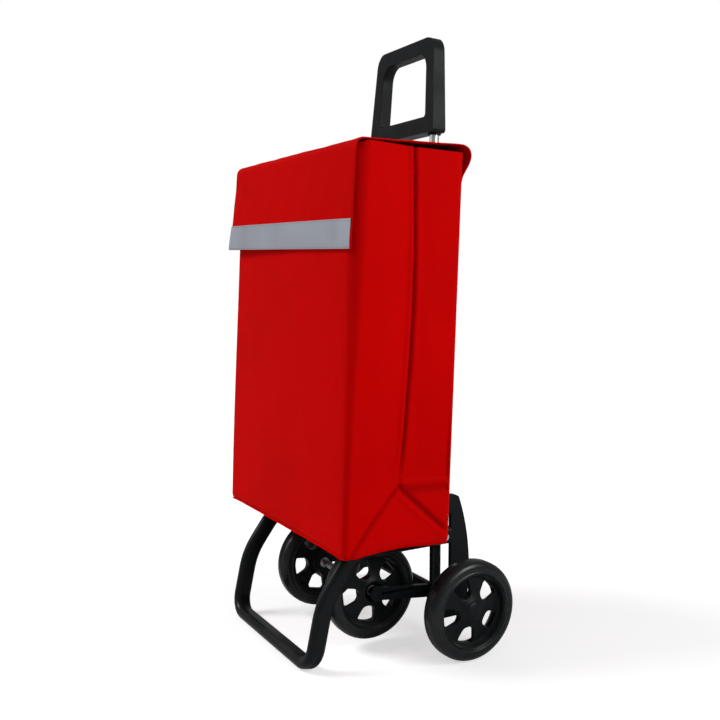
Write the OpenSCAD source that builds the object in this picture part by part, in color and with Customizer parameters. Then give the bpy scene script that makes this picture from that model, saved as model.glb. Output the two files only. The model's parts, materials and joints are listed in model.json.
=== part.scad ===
// Two-wheel shopping trolley with a front stand and a swing-out pair of inner wheels.
// +X is the user's right, +Y is the back (the user's side), +Z is up.
// The origin lies on the ground, in the middle of the trolley's footprint.

/* [Bag] */
// Width of the bag, side to side
bag_w = 446; // [380:2:540]
// Depth of the bag, front to back
bag_d = 193; // [155:1:240]
// Height of the bag, from its bottom to its mouth
bag_h = 615; // [500:5:740]
// Thickness of the bag's lined cloth wall
bag_wall = 3; // [2:0.5:5]
// Thickness of the stiff board on the bag's bottom
board_t = 3; // [2:0.5:5]
// Width of the tape sewn round the inside of the mouth
binding_w = 14; // [8:1:25]
// Thickness of that tape
binding_t = 1.5; // [1:0.5:3]

/* [Lid] */
// Thickness of the lid's cloth
lid_t = 3; // [2:0.5:5]
// How far the lid overhangs the bag at each side
lid_side = 1.5; // [0:0.5:6]
// Length of the flap that hangs down in front
flap_h = 157; // [100:1:220]
// How far the flap's lower edge stands away from the bag
flap_flare = 16; // [0:1:25]
// Height of the reflective strip on the flap
strip_h = 44; // [25:1:60]
// Thickness of the strip
strip_t = 1.4; // [0.8:0.2:3]
// Height of the sewn roll behind the mouth
fold_h = 53; // [30:1:80]
// Depth of that roll
fold_d = 18; // [8:0.5:20]

/* [Mast] */
// Backward lean of the mast and the bag, degrees
lean = 2.2; // [0:0.1:5]
// Outer diameter of the two aluminium tubes
tube_d = 16; // [13:0.1:20]
// Wall of the aluminium tubes
tube_wall = 1.5; // [1:0.25:2.5]
// Distance from the middle to each tube's centre line
tube_half = 86; // [70:1:110]
// Space between the bag's back and the tubes
tube_gap = 25.5; // [22:0.5:40]
// Bare length of tube between the bag's mouth and the handle
tube_show = 42; // [30:1:120]
// Width of the handle
handle_w = 206; // [200:1:250]
// Height of the handle
handle_h = 160; // [130:1:200]
// Thickness of the handle, front to back
handle_t = 24; // [22:1:32]
// Width of the opening in the handle
grip_w = 138; // [90:1:142]
// Height of the opening in the handle
grip_h = 100; // [80:1:110]
// Height of the handle's lower bar
grip_floor = 29; // [20:1:40]
// How deep the tubes sit in the handle
socket_h = 45; // [25:1:60]

/* [Stand] */
// Distance from the stand's front to the bag's front
setback = 29.8; // [15:0.2:60]
// Deep side of the stand's oval tube
oval_long = 30; // [24:1:36]
// Narrow side of the stand's oval tube
oval_short = 19; // [15:1:22]
// Wall of the stand's oval tube
oval_wall = 1.8; // [1.2:0.1:3]
// Bend radius of the two corners on the ground
corner_r = 32; // [24:1:45]
// Backward tilt of the arms near the ground, degrees
tilt_low = 12; // [5:1:20]
// Backward tilt of the arms above their knee, degrees
tilt_high = 36; // [28:1:45]
// Length of the arms from the ground bar to the knee
arm_low = 77.5; // [50:0.5:80]
// Bend radius of the knee
knee_r = 130; // [90:1:140]
// Bend radius where the arms turn level under the bag
shoulder_r = 60; // [45:1:62]
// Depth of the flat pressed into the underside of the ground bar
foot_flat = 0.6; // [0.3:0.1:1]

/* [Frame] */
// Distance from the middle to each leg's centre line
leg_half = 130; // [120:1:150]
// Outer diameter of the legs
leg_d = 19; // [15:0.5:23]
// Wall of the legs
leg_wall = 1.5; // [1:0.25:2.5]
// Distance of the rear axle behind the legs
axle_back = 5.8; // [4:0.1:8]
// Height of the bridge's underside above the bag's bottom
bridge_up = 25; // [15:1:60]
// Height of the bridge that joins legs and tubes
bridge_h = 56; // [45:1:90]
// Depth of the bridge, front to back
bridge_d = 30; // [27:1:40]
// Plastic left round the legs at the bridge's ends
bridge_wall = 4; // [3:0.5:8]
// Thickness of the stair skids
skid_t = 8; // [5:0.5:12]
// How far the skids stand out behind the rear axle
skid_back = 50; // [35:1:65]
// Breadth of the skids' bow
skid_w = 38; // [18:1:40]
// Radius of the skids' outer bow
skid_r = 370; // [250:5:500]
// Diameter of the stand's bolts
bolt_d = 6; // [5:0.5:8]

/* [Wheels] */
// Diameter of all four wheels
wheel_d = 165; // [130:1:200]
// Width of all four tyres
tyre_w = 36; // [28:1:42]
// Radial thickness of the tyres
tyre_t = 20.5; // [14:0.5:26]
// Distance from the middle to each outer wheel's middle
track_half = 220; // [200:1:260]
// Diameter of both axles
axle_d = 12; // [10:0.5:16]
// Outer diameter of the wheel bushes
bush_d = 18; // [17.5:0.5:22]
// Diameter of the hubs' bosses
boss_d = 34; // [30:1:40]
// Height of the caps on the outer wheels' bosses
cap_h = 10.5; // [8:0.5:12]
// Radius of the caps' rounded crown
crown_r = 7; // [3:0.5:7]
// Number of windows in each hub
windows = 5; // [3:1:6]
// Turn of the hubs' windows at rest, degrees
window_turn = 24; // [0:1:71]

/* [Inner pair] */
// Thickness of the links that carry the inner axle
link_t = 8; // [5:0.5:10]
// Height of the links
link_h = 26; // [22:1:34]
// Upward angle of the links when stowed, degrees
link_angle = 6.9; // [0:0.1:12]
// Space between the inner tyres and the rear axle
link_clear = 30.3; // [22:0.1:45]
// Space between the stowed inner tyres and the bag
under_gap = 25; // [20:0.5:60]

/* [Clearances] */
// Radial running clearance on the axles
run_gap = 0.05; // [0.02:0.01:0.1]
// End play between turning pieces
end_gap = 0.4; // [0.3:0.1:1]
// Clearance between the lid and the bag
lid_gap = 0.4; // [0.3:0.1:1]
// Radial clearance of the bolt holes
bolt_gap = 0.2; // [0.1:0.05:0.5]

/* [Hidden] */

$fn = 96;
eps = 1;
wheel_r = wheel_d / 2;
hub_r = wheel_r - tyre_t;
washer_t = 1.2;
washer_r = axle_d / 2 + 3;
eye_r = axle_d / 2 + 10;
leg_cover = 12;
screw_d = 5;
screw_deep = 2.5;
nut_h = 4.5;
head_h = 4;
clip_h = 28;

// Heights
link_len = wheel_r + link_clear;
bag_z = wheel_d + link_len * sin(link_angle) + under_gap;
bag_top = bag_z + bag_h;
bridge_z = bag_z + bridge_up;
run_z = bag_z - 0.3 - oval_long / 2;

// Distances from the stand's front, before centring
back_0 = setback + bag_d;
mast_0 = back_0 + tube_gap + tube_d / 2;
leg_0 = mast_0 + (bridge_up + bridge_h) * tan(lean);
axle_0 = leg_0 + axle_back;
depth = axle_0 + wheel_r;
shift = -depth / 2;

// The same places in the trolley's own frame
leg_y = shift + leg_0;
axle_y = shift + axle_0;
axle_z = wheel_r;
aux_y = axle_y - link_len * cos(link_angle);
aux_z = axle_z + link_len * sin(link_angle);

// The bag's back, the bag's front and the mast's centre line at height z
function back(z) = shift + back_0 + (z - bag_z) * tan(lean);
function front(z) = back(z) - bag_d;
function mast(z) = back(z) + tube_gap + tube_d / 2;

// The screws that hold the skids
screw_y = axle_y - 4;
screw_z = bridge_z + 14;

// Places along X
leg_in = leg_half - leg_d / 2;
leg_out = leg_half + leg_d / 2;
lug_in = leg_in - 0.5;
bridge_half = leg_out + bridge_wall;
loop_half = leg_out + oval_short / 2;
skid_out = bridge_half + skid_t;
boss_in = -tyre_w / 2 + 0.5;
boss_out = tyre_w / 2 - 8.5;
link_out = lug_in - 1.5;
link_in = link_out - link_t;
aux_half = link_in - 2 - tyre_w / 2;

// The stand's arm: where its knee and its shoulder begin, in its own plane
knee_y = arm_low * sin(tilt_low);
knee_z = arm_low * cos(tilt_low);
shin_y = knee_y + knee_r * (cos(tilt_low) - cos(tilt_high));
shin_z = knee_z + knee_r * (sin(tilt_high) - sin(tilt_low));
bar_y = shift + oval_long / 2 / cos(tilt_low) + 0.2;
bar_z = (oval_long - oval_short) / 2 * sin(tilt_low) + oval_short / 2 - foot_flat;
shin_len = (run_z - bar_z - shin_z - shoulder_r * (1 - sin(tilt_high))) / cos(tilt_high);
run_y = bar_y + shin_y + shin_len * sin(tilt_high) + shoulder_r * cos(tilt_high);
run_end = leg_y + leg_d / 2 + 2;

// Lid
lid_z = bag_top + lid_gap;
flap_z = bag_top - flap_h;

// Handle, measured along the leaning mast
handle_s = (bag_top + tube_show) / cos(lean);
tube_s = (bridge_z + 10) / cos(lean);

black = [0.06, 0.07, 0.08];
soft_black = [0.04, 0.045, 0.05];
red = [0.72, 0.02, 0.02];
steel = [0.72, 0.73, 0.75];

// ---- helpers ----

// Draws its 2-D children in the Y-Z plane and gives them a thickness along +X from x0
module yz(x0, thick) {
  translate([x0, 0, 0])
    rotate([90, 0, 90])
      linear_extrude(thick)
        children();
}

// Solid or bored cylinder along X, from x0 to x1
module along_x(x0, x1, r, y = 0, z = 0) {
  translate([x0, y, z])
    rotate([0, 90, 0])
      cylinder(r = r, h = x1 - x0);
}

module ring_x(x0, x1, r_out, r_in, y = 0, z = 0) {
  difference() {
    along_x(x0, x1, r_out, y, z);
    along_x(x0 - eps, x1 + eps, r_in, y, z);
  }
}

// Mirrors its children to the left side when side is -1
module on_side(side) {
  if (side > 0)
    children();
  else
    mirror([1, 0, 0])
      children();
}

module both() {
  for (side = [-1, 1])
    on_side(side)
      children();
}

// A frame that leans with the mast: its Z runs up the mast's centre line
module on_mast() {
  translate([0, mast(0), 0])
    rotate([-lean, 0, 0])
      children();
}

// Stadium outline, its long axis along X
module oval(long, short) {
  square([long - short, short], center = true);
  for (s = [-1, 1])
    translate([s * (long - short) / 2, 0])
      circle(d = short);
}

// Rounded rectangle standing on Z = 0, with its own top and bottom radii
module arched(w, h, r_top, r_low) {
  translate([-w / 2, r_low])
    square([w, h - r_top - r_low]);
  translate([-w / 2 + r_top, h - r_top - eps])
    square([w - 2 * r_top, r_top + eps]);
  translate([-w / 2 + r_low, 0])
    square([w - 2 * r_low, r_low + eps]);
  for (s = [-1, 1]) {
    translate([s * (w / 2 - r_top), h - r_top])
      circle(r = r_top);
    translate([s * (w / 2 - r_low), r_low])
      circle(r = r_low);
  }
}

// Slab that follows the bag's back: from z0 to z1, d0 to d1 behind it, x either side of the middle
module leaning_slab(z0, z1, d0, d1, half) {
  yz(-half, 2 * half)
    polygon([[back(z0) + d0, z0], [back(z0) + d1, z0], [back(z1) + d1, z1], [back(z1) + d0, z1]]);
}

// ---- stand ----

// A bend in the plane of the path, turning towards +Y, for an oval of the given size
module bend(r, angle, long, short) {
  translate([0, r, 0])
    rotate([90, 0, -90])
      rotate_extrude(angle = angle)
        translate([r, 0])
          oval(long, short);
}

// A slightly smaller core across a joint between two stretches, so that they make one tube
module core(long, short) {
  translate([0, 0, -eps])
    linear_extrude(2 * eps)
      rotate(90)
        oval(long - 0.3, short - 0.3);
}

// One half of the stand, from the middle of the ground bar to the end of the run
module half_loop(long, short, over) {
  translate([0, bar_y, bar_z])
    rotate([-tilt_low, 0, 0]) {
      rotate([90, 0, 90])
        linear_extrude(loop_half - corner_r)
          oval(long, short);
      translate([loop_half - corner_r, 0, corner_r])
        rotate([90, 0, 0])
          rotate([0, 0, -90])
            rotate_extrude(angle = 90)
              translate([corner_r, 0])
                rotate(90)
                  oval(long, short);
      translate([loop_half, 0, corner_r])
        linear_extrude(arm_low - corner_r)
          rotate(90)
            oval(long, short);
      translate([loop_half, 0, arm_low])
        bend(knee_r, tilt_high - tilt_low, long, short);
    }
  translate([loop_half, bar_y + shin_y, bar_z + shin_z])
    rotate([-tilt_high, 0, 0]) {
      core(long, short);
      linear_extrude(shin_len)
        rotate(90)
          oval(long, short);
      translate([0, 0, shin_len])
        bend(shoulder_r, 90 - tilt_high, long, short);
    }
  translate([loop_half, run_y, run_z])
    rotate([-90, 0, 0]) {
      core(long, short);
      linear_extrude(run_end - run_y + over)
        rotate(90)
          oval(long, short);
    }
}

module stand_loop() {
  color(black)
    difference() {
      both()
        half_loop(oval_long, oval_short, 0);
      both()
        half_loop(oval_long - 2 * oval_wall, oval_short - 2 * oval_wall, eps);
      translate([-loop_half, shift - 20, -10])
        cube([2 * loop_half, 80, 10]);
      both()
        along_x(leg_out - eps, loop_half + oval_short, bolt_d / 2 + bolt_gap, leg_y, run_z);
    }
}

// Plastic plugs that close the rear ends of the stand's tube
module loop_plugs() {
  color(soft_black)
    both()
      translate([loop_half, run_end, run_z])
        rotate([-90, 0, 0])
          linear_extrude(3)
            rotate(90)
              oval(oval_long, oval_short);
}

// Bolts through the stand's tube and the legs, each with its head and nut
module loop_bolts() {
  nut_x = leg_in - nut_h - 0.5;
  head_x = loop_half + oval_short / 2;
  color(steel)
    both() {
      along_x(nut_x, head_x + head_h / 2, bolt_d / 2, leg_y, run_z);
      translate([nut_x, leg_y, run_z])
        rotate([0, 90, 0])
          cylinder(r = bolt_d * 0.9, h = nut_h, $fn = 6);
      along_x(head_x, head_x + head_h, bolt_d * 0.95, leg_y, run_z);
    }
}

// ---- frame ----

module leg(side) {
  leg_top = bridge_z + bridge_h - leg_cover;
  color(black)
    on_side(side)
      difference() {
        union() {
          translate([leg_half, leg_y, axle_z])
            rotate(45)
              cylinder(d = leg_d, h = leg_top - axle_z);
          along_x(lug_in, bridge_half, eye_r, axle_y, axle_z);
          yz(leg_half - 7, 14)
            polygon([[leg_y, run_z - 30], [leg_y, run_z - 10], [leg_y - 27, run_z - 10]]);
        }
        translate([leg_half, leg_y, axle_z + 17])
          rotate(45)
            cylinder(d = leg_d - 2 * leg_wall, h = leg_top - axle_z);
        along_x(lug_in - eps, bridge_half + eps, axle_d / 2 + run_gap, axle_y, axle_z);
        along_x(leg_in - eps, leg_out + eps, bolt_d / 2 + bolt_gap, leg_y, run_z);
      }
}

// Outline of a stair skid: a pad on the bridge, a bow behind the wheel and an eye on the axle
module skid_outline() {
  low = axle_z - 38;
  high = bridge_z + 28;
  top_r = 20;
  gap_r = 8;
  gap_low = axle_z + eye_r + gap_r;
  bow = axle_y + skid_back - skid_w;
  wide = skid_back + skid_r;
  difference() {
    intersection() {
      translate([axle_y + skid_back - skid_r, axle_z + 42])
        circle(r = skid_r, $fn = 240);
      union() {
        translate([axle_y - eye_r, low + eye_r])
          square([wide, high - low - 2 * eye_r]);
        translate([axle_y, low])
          square([wide, 2.5 * eye_r]);
        translate([axle_y, low + eye_r])
          circle(r = eye_r);
        translate([axle_y - eye_r, high - top_r])
          square([2 * eye_r, top_r]);
        translate([axle_y + 14, high - top_r])
          circle(r = top_r);
      }
    }
    translate([axle_y - eye_r - eps, gap_low])
      square([bow - gap_r - axle_y + eye_r + eps, bridge_z - gap_low]);
    translate([bow - gap_r - eps, gap_low + gap_r])
      square([gap_r + eps, bridge_z - gap_low - 2 * gap_r]);
    for (z = [gap_low + gap_r, bridge_z - gap_r])
      translate([bow - gap_r, z])
        circle(r = gap_r);
  }
}

module skid(side) {
  color(soft_black)
    on_side(side)
      difference() {
        yz(bridge_half, skid_t)
          skid_outline();
        along_x(bridge_half - eps, skid_out + eps, axle_d / 2 + run_gap, axle_y, axle_z);
        along_x(bridge_half - eps, skid_out + eps, screw_d / 2 + bolt_gap, screw_y, screw_z);
      }
}

// Screws that hold the skids on the bridge's ends
module skid_screws() {
  color(black)
    both() {
      along_x(bridge_half - screw_deep, skid_out + eps, screw_d / 2, screw_y, screw_z);
      along_x(skid_out, skid_out + screw_d / 2, screw_d * 0.9, screw_y, screw_z);
    }
}

module lower_bridge() {
  color(soft_black)
    difference() {
      yz(-bridge_half, 2 * bridge_half)
        translate([leg_y, bridge_z])
          arched(bridge_d, bridge_h, 6, 6);
      both() {
        translate([leg_half, leg_y, bridge_z - eps])
          cylinder(d = leg_d, h = bridge_h - leg_cover + eps);
        along_x(bridge_half - screw_deep, bridge_half + eps, screw_d / 2, screw_y, screw_z);
      }
      on_mast()
        both()
          translate([tube_half, 0, tube_s])
            cylinder(d = tube_d, h = bridge_h + 20);
    }
}

module tube(side) {
  color([0.78, 0.79, 0.81])
    on_side(side)
      on_mast()
        translate([tube_half, 0, tube_s])
          difference() {
            cylinder(d = tube_d, h = handle_s + socket_h - tube_s);
            translate([0, 0, -eps])
              cylinder(d = tube_d - 2 * tube_wall, h = handle_s + socket_h - tube_s + 2 * eps);
          }
}

module handle() {
  color(black)
    on_mast()
      difference() {
        translate([0, handle_t / 2, handle_s])
          rotate([90, 0, 0])
            linear_extrude(handle_t)
              difference() {
                arched(handle_w, handle_h, 20, 6);
                translate([0, grip_floor])
                  arched(grip_w, grip_h, 24, 12);
              }
        both()
          translate([tube_half, 0, handle_s - eps])
            cylinder(d = tube_d, h = socket_h + eps);
      }
}

// ---- bag ----

module bag_body() {
  half = bag_w / 2;
  low = bag_z + bag_wall;
  color(red)
    difference() {
      leaning_slab(bag_z, bag_top, -bag_d, 0, half);
      leaning_slab(low, bag_top + 10, bag_wall - bag_d, -bag_wall, half - bag_wall);
    }
}

module bag_base_board() {
  low = bag_z + bag_wall;
  color("saddlebrown")
    leaning_slab(low, low + board_t, bag_wall + 1 - bag_d, -bag_wall - 1, bag_w / 2 - bag_wall - 1);
}

module mouth_binding() {
  half = bag_w / 2 - bag_wall;
  in = bag_wall + binding_t;
  color(soft_black)
    difference() {
      leaning_slab(bag_top - binding_w, bag_top, bag_wall - bag_d, -bag_wall, half);
      leaning_slab(bag_top - binding_w - eps, bag_top + eps, in - bag_d, -in, half - binding_t);
    }
}

strap_t = 2;
hook_z = bag_top - fold_h - 50;

// Webbing sewn across the bag's back, which the hooks hold
module hanger_strap() {
  color(soft_black)
    leaning_slab(hook_z - 2, hook_z + 32, 0, strap_t, tube_half + 26);
}

// Plastic hook clipped round a tube
module bag_hook(side) {
  reach = (tube_gap + tube_d / 2 - strap_t) * cos(lean);
  color(soft_black)
    on_side(side)
      on_mast()
        translate([tube_half, 0, hook_z / cos(lean) + 1])
          difference() {
            union() {
              cylinder(d = tube_d + 8, h = clip_h);
              translate([-9, -reach, 0])
                cube([18, reach, clip_h]);
            }
            translate([0, 0, -eps])
              cylinder(d = tube_d, h = clip_h + 2 * eps);
          }
}

// The roll of cloth behind the mouth, sewn to the bag's back
module lid_back_fold() {
  low = bag_top - fold_h;
  high = bag_top - 0.2;
  r = fold_d / 2 - 1;
  color(red)
    yz(-bag_w / 2, bag_w) {
      polygon([[back(low), low], [back(low) + 3, low], [back(high - 2 * r) + 2 * r + 2, high - 1.6 * r],
        [back(high) + r, high], [back(high), high]]);
      translate([back(high - r) + r, high - r])
        circle(r = r);
    }
}

// Profile of the lid: a panel over the mouth and a flap that flares forward
module lid() {
  f_top = front(bag_top) - lid_gap;
  f_low = front(flap_z) - lid_gap - flap_flare;
  color(red)
    yz(-bag_w / 2 - lid_side, bag_w + 2 * lid_side)
      polygon([[back(bag_top), lid_z], [back(bag_top), lid_z + lid_t], [f_top - lid_t, lid_z + lid_t],
        [f_low - lid_t, flap_z], [f_low, flap_z], [f_top, lid_z]]);
}

module lid_strip() {
  f_top = front(bag_top) - lid_gap - lid_t;
  f_low = front(flap_z) - lid_gap - flap_flare - lid_t;
  slope = (f_top - f_low) / (lid_z + lid_t - flap_z);
  f_mid = f_low + slope * strip_h;
  color([0.62, 0.65, 0.68])
    yz(-bag_w / 2 - lid_side, bag_w + 2 * lid_side)
      polygon([[f_low, flap_z], [f_mid, flap_z + strip_h], [f_mid - strip_t, flap_z + strip_h],
        [f_low - strip_t, flap_z]]);
}

// ---- axles ----

module rear_axle() {
  reach = track_half + boss_out + 3.5;
  color(steel)
    along_x(-reach, reach, axle_d / 2, axle_y, axle_z);
}

// Plastic tubes that keep the outer wheels at their distance from the skids
module axle_spacer(side) {
  color(soft_black)
    on_side(side)
      ring_x(skid_out, track_half + boss_in - end_gap, 10, axle_d / 2 + run_gap, axle_y, axle_z);
}

// Push-on washers that hold the outer wheels on
module rear_axle_washers() {
  at = track_half + boss_out + end_gap;
  color(steel)
    both()
      ring_x(at, at + washer_t, washer_r, axle_d / 2, axle_y, axle_z);
}

// Thin washers between the links and the legs
module pivot_washers() {
  color(steel)
    both()
      ring_x(link_out + end_gap, lug_in - 0.1, washer_r + 2, axle_d / 2, axle_y, axle_z);
}

// ---- wheels ----

// Places a wheel whose own +X points away from the trolley's middle
module at_rear(side) {
  on_side(side)
    translate([track_half, axle_y, axle_z])
      children();
}

module at_aux(side) {
  on_side(side)
    translate([aux_half, aux_y, aux_z])
      children();
}

module tyre() {
  round_r = 11;
  color(soft_black)
    rotate([0, 90, 0])
      rotate_extrude()
        intersection() {
          translate([hub_r, -tyre_w])
            square([tyre_t + eps, 2 * tyre_w]);
          union() {
            translate([hub_r, -tyre_w / 2 + 3])
              square([tyre_t - round_r, tyre_w - 6]);
            translate([hub_r + 4, -tyre_w / 2])
              square([tyre_t - round_r - 4, tyre_w]);
            translate([wheel_r - round_r - eps, -tyre_w / 2 + round_r])
              square([round_r + eps, tyre_w - 2 * round_r]);
            for (s = [-1, 1]) {
              translate([wheel_r - round_r, s * (tyre_w / 2 - round_r)])
                circle(r = round_r);
              translate([hub_r + 4, s * (tyre_w / 2 - 3)])
                circle(r = 3);
            }
          }
        }
}

// One window between two spokes: a rounded triangle, narrow towards the axle
module window() {
  r_in = 6;
  r_far = 6.5;
  near = boss_d / 2 + 15;
  far = hub_r - 17;
  half = 180 / windows - 24;
  tip = [near, 0];
  a = [far * cos(half), far * sin(half)];
  b = [far * cos(half), -far * sin(half)];
  dir = atan2(a[1] - tip[1], a[0] - tip[0]);
  off = [-sin(dir), cos(dir)];
  polygon([tip + r_in * off, a + r_far * off, a + [r_far, 0], b + [r_far, 0],
    b + r_far * [off[0], -off[1]], tip + r_in * [off[0], -off[1]]]);
  translate(tip)
    circle(r = r_in);
  translate(a)
    circle(r = r_far);
  translate(b)
    circle(r = r_far);
}

module hub() {
  rim_in = hub_r - 7;
  web_in = -8;
  web_t = 13;
  color(black)
    rotate([0, 90, 0])
      difference() {
        union() {
          rotate_extrude()
            polygon([[rim_in, -tyre_w / 2 + 3], [hub_r, -tyre_w / 2 + 3], [hub_r, tyre_w / 2 - 3],
              [rim_in, tyre_w / 2 - 3]]);
          translate([0, 0, web_in])
            cylinder(r = rim_in + eps, h = web_t);
          translate([0, 0, web_in - 3])
            cylinder(r = boss_d / 2 + 3.5, h = web_t + 6);
          translate([0, 0, boss_in])
            cylinder(d = boss_d, h = boss_out - boss_in);
        }
        translate([0, 0, boss_in - eps])
          cylinder(d = bush_d, h = boss_out - boss_in + 2 * eps);
        for (i = [0:windows - 1])
          rotate((i + 0.5) * 360 / windows + window_turn)
            translate([0, 0, -tyre_w])
              linear_extrude(2 * tyre_w)
                window();
      }
}

module bush() {
  color([0.85, 0.84, 0.8])
    ring_x(boss_in, boss_out, bush_d / 2, axle_d / 2 + run_gap);
}

// Domed cap pressed on an outer wheel's boss: a skirt with a crown turned from a short arc
module cap() {
  r = boss_d / 2;
  skirt = cap_h - crown_r;
  color(black)
    translate([boss_out, 0, 0])
      rotate([0, 90, 0])
        difference() {
          rotate_extrude()
            union() {
              square([r, skirt]);
              square([r - crown_r, cap_h]);
              translate([r - crown_r, skirt])
                intersection() {
                  circle(r = crown_r);
                  square(crown_r);
                }
            }
          translate([0, 0, -eps])
            cylinder(r = washer_r + 1.5, h = 4.5 + eps);
        }
}

// ---- inner pair ----

module link(side) {
  color(black)
    on_side(side)
      difference() {
        translate([0, axle_y, axle_z])
          rotate([-link_angle, 0, 0])
            yz(link_in, link_t) {
              translate([-link_len, 2 - link_h / 2])
                square([link_len, link_h - 4]);
              circle(r = link_h / 2 + 3);
              translate([-link_len, 0])
                circle(r = link_h / 2);
            }
        along_x(link_in - eps, link_out + eps, axle_d / 2 + run_gap, axle_y, axle_z);
        along_x(link_in - eps, link_out + eps, axle_d / 2, aux_y, aux_z);
      }
}

// Tube round the rear axle that joins the two links
module link_sleeve() {
  color(black)
    ring_x(-link_in, link_in, 11, axle_d / 2 + run_gap, axle_y, axle_z);
}

module aux_axle() {
  color(steel)
    along_x(-link_out, link_out, axle_d / 2, aux_y, aux_z);
}

// Push-on washers on the inner sides of the inner wheels
module aux_axle_washers() {
  at = aux_half + boss_in - end_gap;
  color(steel)
    both()
      ring_x(at - washer_t, at, washer_r, axle_d / 2, aux_y, aux_z);
}

// Short tubes between the inner wheels and the links
module aux_spacers() {
  color(soft_black)
    both()
      ring_x(aux_half + boss_out + end_gap, link_in, 9, axle_d / 2, aux_y, aux_z);
}

stand_loop();
loop_plugs();
loop_bolts();
leg(-1);  // leg_left
leg(1);  // leg_right
skid(-1);  // skid_left
skid(1);  // skid_right
skid_screws();
lower_bridge();
tube(-1);  // tube_left
tube(1);  // tube_right
handle();
rear_axle();
axle_spacer(-1);  // axle_spacer_left
axle_spacer(1);  // axle_spacer_right
rear_axle_washers();
pivot_washers();
bag_body();
bag_base_board();
mouth_binding();
hanger_strap();
bag_hook(-1);  // bag_hook_left
bag_hook(1);  // bag_hook_right
lid_back_fold();
lid();
lid_strip();
at_rear(-1) tyre();  // rear_left_tyre
at_rear(-1) hub();  // rear_left_hub
at_rear(-1) bush();  // rear_left_bush
at_rear(-1) cap();  // rear_left_cap
at_rear(1) tyre();  // rear_right_tyre
at_rear(1) hub();  // rear_right_hub
at_rear(1) bush();  // rear_right_bush
at_rear(1) cap();  // rear_right_cap
link(-1);  // link_left
link(1);  // link_right
link_sleeve();
aux_axle();
aux_axle_washers();
aux_spacers();
at_aux(-1) tyre();  // aux_left_tyre
at_aux(-1) hub();  // aux_left_hub
at_aux(-1) bush();  // aux_left_bush
at_aux(1) tyre();  // aux_right_tyre
at_aux(1) hub();  // aux_right_hub
at_aux(1) bush();  // aux_right_bush
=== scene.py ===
import json
import math
from math import cos, pi, radians, sin, tan

import bmesh
import bpy
from bpy.props import FloatProperty, FloatVectorProperty, IntProperty, PointerProperty
from mathutils import Matrix, Vector


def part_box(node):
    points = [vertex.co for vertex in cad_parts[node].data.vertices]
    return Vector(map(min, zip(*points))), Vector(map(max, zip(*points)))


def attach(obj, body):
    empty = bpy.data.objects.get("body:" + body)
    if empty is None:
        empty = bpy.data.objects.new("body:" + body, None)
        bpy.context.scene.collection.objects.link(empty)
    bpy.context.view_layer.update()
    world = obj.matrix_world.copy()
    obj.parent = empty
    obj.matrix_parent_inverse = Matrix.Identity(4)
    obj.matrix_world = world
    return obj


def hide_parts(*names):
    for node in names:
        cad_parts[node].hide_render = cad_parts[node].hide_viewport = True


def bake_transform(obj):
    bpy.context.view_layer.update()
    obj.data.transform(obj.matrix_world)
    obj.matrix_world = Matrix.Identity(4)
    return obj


bl_info = {
    "name": "Shopping trolley",
    "version": (1, 0, 0),
    "blender": (4, 5, 0),
    "location": "View3D > Sidebar > Trolley",
    "description": "Soft goods, grip, wheels and finishes for the packed trolley frame",
    "category": "Object",
}

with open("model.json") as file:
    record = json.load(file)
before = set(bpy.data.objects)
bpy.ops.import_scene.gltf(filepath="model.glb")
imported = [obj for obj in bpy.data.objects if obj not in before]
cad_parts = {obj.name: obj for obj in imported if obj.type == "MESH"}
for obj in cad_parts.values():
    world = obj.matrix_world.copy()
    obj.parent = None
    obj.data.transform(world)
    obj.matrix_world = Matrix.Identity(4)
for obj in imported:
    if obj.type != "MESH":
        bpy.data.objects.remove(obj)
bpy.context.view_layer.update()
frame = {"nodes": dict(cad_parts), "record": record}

# ---- places taken from the frame ----

BAG_LO, BAG_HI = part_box("bag_body")
BAG_HALF = BAG_HI.x
BAG_H = BAG_HI.z - BAG_LO.z
STRIP_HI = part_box("lid_strip")[1]
GRIP_LO, GRIP_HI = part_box("handle")
WHEEL_LO, WHEEL_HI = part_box("rear_right_tyre")
WHEEL = (WHEEL_LO + WHEEL_HI) / 2
TUBE_X = (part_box("tube_right")[0].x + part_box("tube_right")[1].x) / 2


# ---- sizes and colours that a user may change ----


def length(name, about, default, low, high):
    return FloatProperty(name=name, description=about, default=default, min=low, max=high, unit="LENGTH")


def turned(name, about, default, high):
    return FloatProperty(name=name, description=about, default=radians(default), min=0, max=radians(high),
                         subtype="ANGLE")


def steps_of(name, about, default, low, high):
    return IntProperty(name=name, description=about, default=default, min=low, max=high)


def tint(name, about, default):
    return FloatVectorProperty(name=name, description=about, default=default, size=3, min=0, max=1,
                               subtype="COLOR")


class TrolleyBagSizes(bpy.types.PropertyGroup):
    lean: turned("Lean", "Backward lean of the bag and the mast", 2.2, 6)
    corner: length("Corner radius", "Radius of the bag's upright corners near the mouth", 0.024, 0.004, 0.05)
    gusset: length("Gusset depth", "How far the middle of each side is pressed in", 0.012, 0, 0.03)
    bulge: length("Front bulge", "How far the middle of the front stands out", 0.004, 0, 0.02)
    wrinkle: length("Wrinkles", "Height of the soft waves in the cloth", 0.0007, 0, 0.004)
    wall: length("Cloth thickness", "Thickness of the lined cloth", 0.0016, 0.0006, 0.003)


class TrolleyLidSizes(bpy.types.PropertyGroup):
    flap: length("Flap length", "How far the flap hangs down in front", 0.157, 0.08, 0.25)
    front_round: length("Front rounding", "Radius where the lid turns down into the flap", 0.015, 0.004,
                        0.03)
    flare_left: length("Left flare", "How far the flap's left lower corner stands off the bag", 0.012, 0,
                       0.02)
    flare_right: length("Right flare", "How far the flap's right lower corner stands off the bag", 0.002, 0,
                        0.02)
    curl: length("Back curl", "How far the cloth bows out behind the mouth", 0.0115, 0.004, 0.018)
    strip: length("Strip height", "Height of the reflective strip", 0.044, 0.02, 0.06)


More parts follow.
